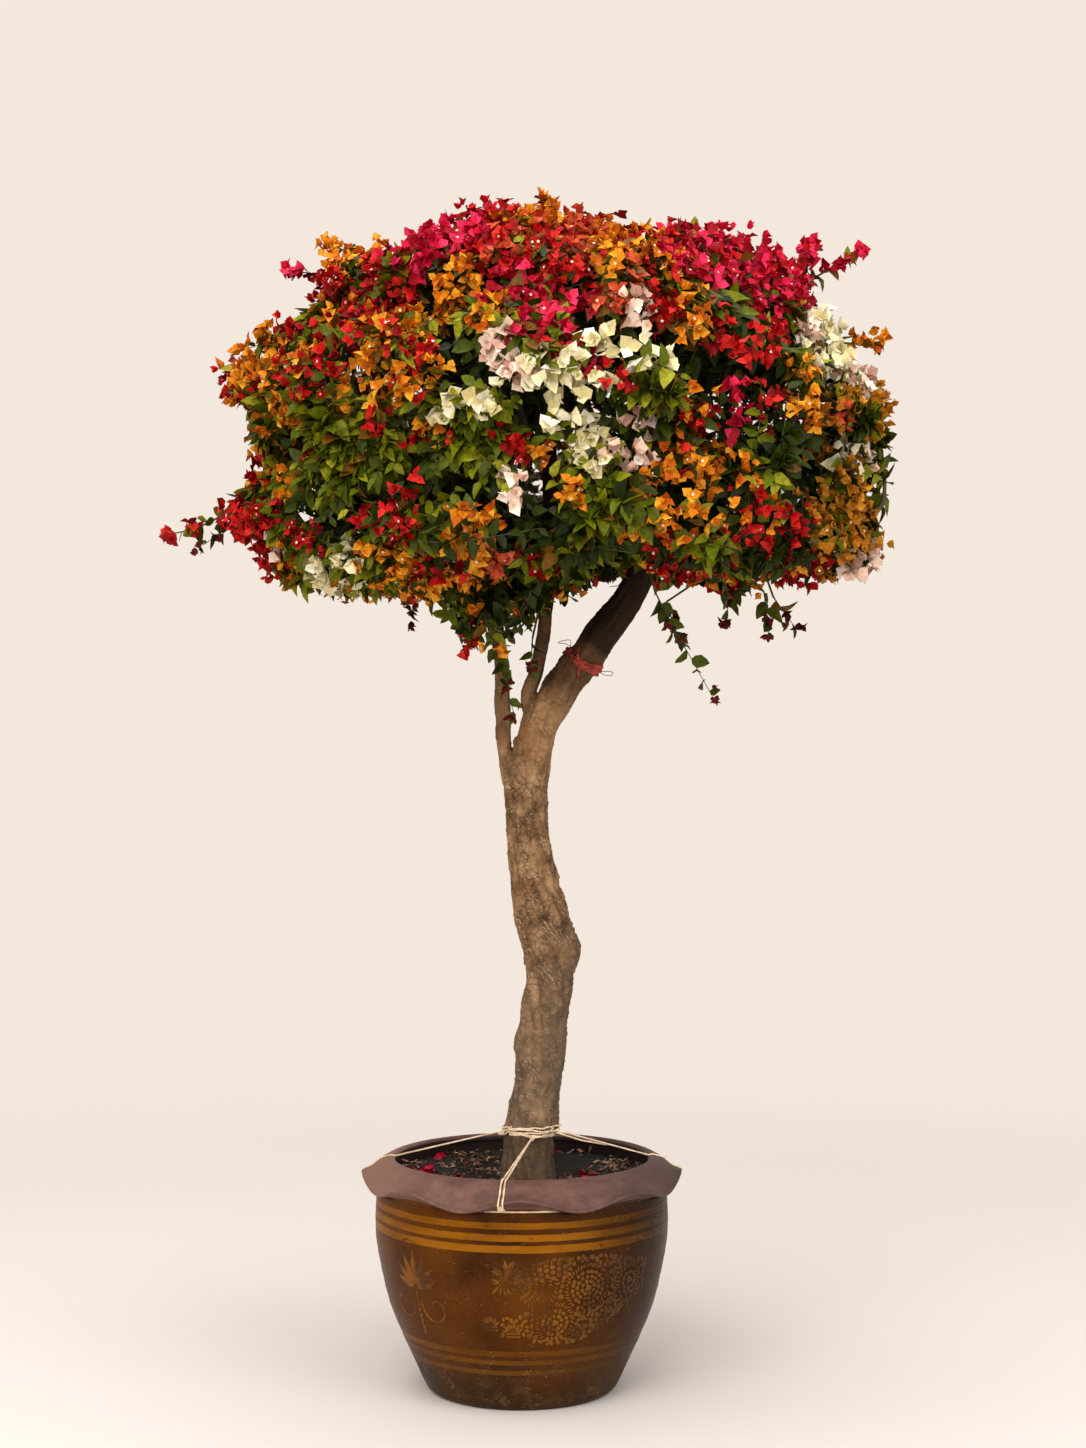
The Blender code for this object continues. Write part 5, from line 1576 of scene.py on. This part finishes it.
# ---------------------------------------------------------------- the blossom
# Papery bracts in threes round a small cream flower, clustered at the ends of the shoots. Each
# graft on the plant has its own tint, so the crown is crimson, orange, white and amber by turns.
TINTS = {
    "crimson": ((208, 16, 54), (232, 46, 92), (158, 8, 30)),
    "red": ((190, 14, 16), (214, 40, 34), (132, 6, 8)),
    "maroon": ((96, 20, 14), (120, 30, 20), (74, 14, 10)),
    "coral": ((210, 84, 48), (222, 112, 74), (180, 54, 32)),
    "orange": ((224, 132, 16), (240, 168, 40), (188, 90, 8)),
    "amber": ((186, 118, 20), (166, 98, 14), (204, 140, 36)),
    "white": ((246, 236, 192), (212, 200, 144), (253, 249, 226)),
    "blush": ((240, 206, 184), (208, 164, 146), (250, 232, 214)),
}
PALE = ("white", "blush")
FAMILIES = {"crimson": ("crimson",), "red": ("red", "maroon"), "orange": ("orange", "coral"),
            "amber": ("amber",), "white": PALE}
BRACT_SIZE = {"crimson": 0.0235, "red": 0.0210, "maroon": 0.0185, "coral": 0.0225,
              "orange": 0.0215, "amber": 0.0215, "white": 0.0265, "blush": 0.0255}
BRACT_POINTS = ((0, 0), (0.48, 0), (1, 0), (0.15, 0.34), (0.58, 0.47), (0.15, -0.34),
                (0.58, -0.47))
BRACT_FACES = ((0, 1, 4, 3), (1, 2, 4), (0, 5, 6, 1), (1, 6, 2))
KIN = {"crimson": "red", "red": "orange", "coral": "red", "orange": "red", "amber": "orange",
       "white": "blush", "blush": "white"}
GRAFTS = {  # across, height and reach of each on the front
    "crimson": ((-0.15, 2.53, 0.085), (-0.24, 2.47, 0.06), (-0.52, 2.40, 0.05), (0.35, 2.53, 0.07),
                (0.44, 2.48, 0.06), (0.53, 2.48, 0.05), (0.42, 2.41, 0.075), (0.54, 2.40, 0.065),
                (0.63, 2.37, 0.05), (0.01, 2.40, 0.07), (0.04, 2.32, 0.06), (0.13, 2.29, 0.05),
                (-0.32, 2.37, 0.05), (0.45, 2.17, 0.05), (0.35, 1.76, 0.05), (0.48, 2.35, 0.04)),
    "red": ((-0.04, 2.51, 0.04), (0.09, 2.44, 0.07), (-0.09, 2.42, 0.05), (-0.27, 2.41, 0.06),
            (-0.44, 2.37, 0.07), (-0.39, 2.31, 0.06), (-0.53, 2.33, 0.05), (-0.42, 2.22, 0.06),
            (-0.50, 2.24, 0.03), (-0.25, 2.19, 0.04), (-0.46, 2.15, 0.04), (-0.61, 2.13, 0.04),
            (0.41, 2.14, 0.05), (0.52, 2.23, 0.06), (0.54, 2.17, 0.05), (0.33, 2.10, 0.05),
            (0.44, 2.03, 0.03), (-0.02, 2.05, 0.04), (-0.15, 2.06, 0.03), (0.02, 1.83, 0.020),
            (-0.60, 1.90, 0.08), (-0.57, 1.83, 0.05), (-0.48, 1.87, 0.03), (0.58, 1.88, 0.038),
            (-0.45, 2.03, 0.024), (-0.37, 1.95, 0.022), (0.43, 1.97, 0.030), (0.30, 2.02, 0.022),
            (0.40, 2.34, 0.05), (0.31, 2.34, 0.035), (-0.34, 2.31, 0.03),
            (0.50, 1.89, 0.045), (0.60, 1.81, 0.034), (0.34, 1.81, 0.05), (0.40, 1.79, 0.045),
            (-0.22, 1.92, 0.04)),
    "coral": ((0.14, 2.52, 0.07), (0.20, 2.38, 0.05), (-0.01, 2.49, 0.065), (0.44, 2.35, 0.03),
              (-0.05, 1.84, 0.03), (0.63, 2.14, 0.04)),
    "orange": ((0.03, 2.57, 0.085), (0.21, 2.50, 0.095), (0.32, 2.39, 0.04), (0.35, 2.31, 0.035),
               (-0.14, 2.38, 0.050), (-0.23, 2.32, 0.058), (-0.08, 2.34, 0.05), (-0.37, 2.45, 0.04),
               (-0.44, 2.30, 0.035), (-0.41, 2.16, 0.045), (-0.34, 2.40, 0.03),
               (-0.31, 2.14, 0.025),
               (-0.58, 2.27, 0.08), (-0.64, 2.22, 0.06), (-0.36, 2.24, 0.06), (-0.55, 2.15, 0.07),
               (-0.29, 2.25, 0.05), (-0.17, 2.26, 0.05), (0.58, 2.18, 0.05), (-0.32, 2.00, 0.034),
               (0.13, 1.96, 0.05), (0.20, 1.90, 0.05), (0.34, 2.01, 0.05), (0.29, 1.93, 0.07),
               (0.37, 1.96, 0.07), (0.44, 1.94, 0.06), (-0.13, 1.82, 0.07), (-0.08, 1.87, 0.05),
               (-0.29, 1.78, 0.07), (0.06, 1.71, 0.04), (-0.54, 2.02, 0.036), (-0.21, 1.80, 0.05)),
    "amber": ((0.80, 2.15, 0.06), (0.70, 2.13, 0.05), (0.57, 2.06, 0.06), (0.67, 1.93, 0.08),
              (0.77, 2.04, 0.06), (0.73, 1.87, 0.06), (0.66, 1.83, 0.05), (0.79, 1.93, 0.05),
              (0.72, 2.31, 0.04), (0.79, 1.99, 0.045)),
    "white": ((-0.12, 2.18, 0.045), (0.02, 2.19, 0.055), (0.12, 2.18, 0.065), (0.07, 2.12, 0.04),
              (0.15, 2.09, 0.05), (0.19, 2.27, 0.05), (0.29, 2.27, 0.04), (0.63, 2.28, 0.048),
              (0.69, 2.24, 0.035), (0.67, 2.02, 0.04), (-0.39, 1.81, 0.05), (0.57, 1.74, 0.03)),
    "blush": ((-0.06, 2.22, 0.06), (0.22, 2.09, 0.05), (0.25, 2.05, 0.04), (0.25, 2.31, 0.06),
              (0.00, 1.96, 0.035), (0.73, 2.20, 0.035), (0.71, 2.06, 0.04), (-0.51, 1.86, 0.03),
              (0.73, 1.81, 0.04)),
}
GRAFT_WAYS, GRAFT_STIR = 168, 0.25  # on all sides, and only those behind are kept
BACK_PARTING, BACK_WHITE = 2.12, 0.45  # height between the two sets below, and whites' reach
LOW_TINTS = ("orange", "red", "amber", "white", "red", "orange", None)
HIGH_TINTS = ("crimson", "crimson", "orange", "red", "coral", "white", "crimson")
GRAFT_MIX, LEFT_ORANGE_MIX = (0.74, 0.08, 0.18), (0.60, 0.14, 0.26)  # own tint, kin, leaves
HIGH_MIX = (("crimson", "orange", "red", None), (0.16, 0.25, 0.29, 0.30))  # outside the grafts
LOW_MIX = (("red", "orange", None), (0.09, 0.10, 0.81))
HIGH_FROM = 2.25
TINT_SHARES = (0.42, 0.28, 0.30)
BRACT_BEND, BRACT_FOLD, BRACT_TWIST = (-0.50, 0.25), (0.20, 0.85), 0.45
OPENING = (0.40, 1.10)  # between the flower's way and its bracts, in radians
STAR_SHARE, STAR_RADIUS, STAR_OUT, STAR_FOLD = 0.16, 0.0042, 0.62, 0.25
STAR_POINTS = tuple((math.cos(k * math.pi / 5) * reach, math.sin(k * math.pi / 5) * reach)
                    for k, reach in enumerate((1, 0.42) * 5))


def back_grafts():
    """The grafts behind, each with its middle, reach and tint. They are dealt out by height."""
    found = []
    dice = random.Random(23)
    for way in spread_ways(GRAFT_WAYS, GRAFT_STIR):
        spot = crown_surface(way, 0.94)
        if spot.y > 0:
            tint = dice.choice(LOW_TINTS if spot.z < BACK_PARTING else HIGH_TINTS)
            if tint == "white" and abs(spot.x) > BACK_WHITE:
                tint = "orange"
            if tint:
                found.append((spot - CROWN_CENTRE, dice.uniform(0.05, 0.12), tint))
    return found


def bloom_of(end, behind, dice):
    """The tint at a shoot's end, or None where it has leaves alone. A graft at the front takes
    in all the shoots that show at its place from there."""
    if end.y < (0.15 if end.z < 2.3 else 0.32):
        x, z = shown_at(end)
        grafts = [(math.hypot(x - across, z - height) / reach, tint)
                  for tint, places in GRAFTS.items() for across, height, reach in places]
    else:
        way = (end - CROWN_CENTRE).normalized()
        grafts = [((way * out.length - out).length / reach, tint) for out, reach, tint in behind]
    far, tint = min(grafts, key=lambda graft: graft[0])
    if far < 1:
        mixed = LEFT_ORANGE_MIX if tint == "orange" and end.x < -0.05 else GRAFT_MIX
        return dice.choices((tint, KIN[tint], None), mixed)[0]
    return dice.choices(*(HIGH_MIX if end.z > HIGH_FROM else LOW_MIX))[0]


def deal_bloom():
    """For each shoot, the tint of its blossom or None."""
    behind = back_grafts()
    dice = random.Random(5)
    found = []
    for line, kind in SHOOTS:
        end = line[-1].xyz
        if kind in ("inner", "skirt"):
            found.append("orange" if kind == "skirt" and dice.random() < 0.12 else None)
        elif kind == "hanger":
            found.append("maroon")
        elif kind == "spray":
            ochre = end.x < -0.4 and end.z > 2.45 or 0 < end.x < 0.2 or end.x > 0.75
            found.append("orange" if ochre else "crimson" if end.z > 2.2 else "red")
        else:
            found.append(bloom_of(end, behind, dice))
    return found


def sow_bracts():
    """Every little flower: spot, way it looks, size, tint and whether it is on a long spray."""
    rows = []
    for (line, kind), tint in zip(SHOOTS, BLOOM):
        if not tint:
            continue
        ends = np.array([p.xyz for p in line])
        end, before = ends[-1], ends[-2]
        if kind == "outer":
            out = unit((end - np.array(CROWN_CENTRE))[None])
            count = int(CHANCE.integers(7, 11 if tint in PALE else 12))
            back = unit((before - end)[None]) * np.abs(CHANCE.normal(0, 0.022, (count, 1)))
            spot = end + back + np.clip(CHANCE.normal(0, 0.018, (count, 3)), -0.030, 0.030)
            spot += out * 0.010
            way = out * 0.9 + CHANCE.normal(0, 0.55, (count, 3)) + (0, 0, 0.20)
        else:
            count = 18 if kind == "spray" else 6
            share = CHANCE.uniform(0.50, 1.0, count)
            share[:3] = 1.0
            spot = walked(ends, share)[0] + CHANCE.normal(0, 0.008, (count, 3))
            way = CHANCE.normal(0, 0.6, (count, 3)) + unit((end - before)[None]) * 0.8
        rows.append((spot, unit(way), BRACT_SIZE[tint] * CHANCE.uniform(0.80, 1.18, count),
                     [tint] * count, [kind != "outer"] * count))
    return map(np.concatenate, zip(*rows))


def lay_blossom():
    spots, ways, sizes, tints, trails = sow_bracts()
    side = unit(np.cross(ways, (0.31, 0.22, 0.93)))
    other = np.cross(ways, side)
    start = CHANCE.uniform(0, ANY_TURN, len(spots))
    opening = CHANCE.uniform(*OPENING, len(spots))
    for family, members in FAMILIES.items():
        finishes, index = [], {}
        for tint in members:
            index[tint] = len(finishes)
            finishes += tissues(f"{tint} bract", TINTS[tint], 0.62, 0.005,
                                0.88 if tint in PALE else 0.66)
        mine = np.isin(tints, members)
        count, facing, long = mine.sum(), ways[mine], sizes[mine]
        breadth = (0.85, 1.10) if family == "white" else (0.68, 0.92)
        corners, picks = [], []
        for k in range(3):
            turn = start[mine] + k * math.tau / 3 + CHANCE.normal(0, 0.12, count)
            radial = fanned(side[mine], other[mine], turn)
            open_by = opening[mine] + CHANCE.normal(0, 0.08, count)
            turns = frames(fanned(facing, radial, open_by), fanned(-radial, facing, open_by))
            size = np.stack((long, long * CHANCE.uniform(*breadth, count)), axis=1)
            corners.append(placed(BRACT_POINTS, spots[mine], turns, size,
                                  CHANCE.uniform(*BRACT_BEND, count),
                                  CHANCE.uniform(*BRACT_FOLD, count),
                                  CHANCE.normal(0, BRACT_TWIST, count)))
            own = CHANCE.choice(3, count, p=TINT_SHARES)
            picks.append(np.array([index[t] for t in tints[mine]]) + own)
        corners, picks = np.concatenate(corners), np.concatenate(picks)
        keep = roomy(corners, np.tile(trails[mine], 3))
        joined("bracts_" + family, corners[keep], BRACT_FACES, picks[keep], finishes)
    starry = CHANCE.random(len(spots)) < STAR_SHARE
    count = starry.sum()
    middle = spots[starry] + ways[starry] * (sizes[starry] * STAR_OUT)[:, None]
    stars = placed(STAR_POINTS, middle, frames(side[starry], ways[starry]),
                   np.full((count, 2), STAR_RADIUS), np.zeros(count),
                   np.full(count, STAR_FOLD))
    keep = roomy(stars, trails[starry])
    joined("cream_flowers", stars[keep], (range(10),), np.zeros(keep.sum(), dtype=int),
           tissues("cream flower", ((250, 240, 208),), 0.6, 0.004))


BLOOM = deal_bloom()
lay_leaves()
lay_blossom()


size = {"cad": [list(corner) for corner in cad_box], "scene": [list(corner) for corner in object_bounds()]}
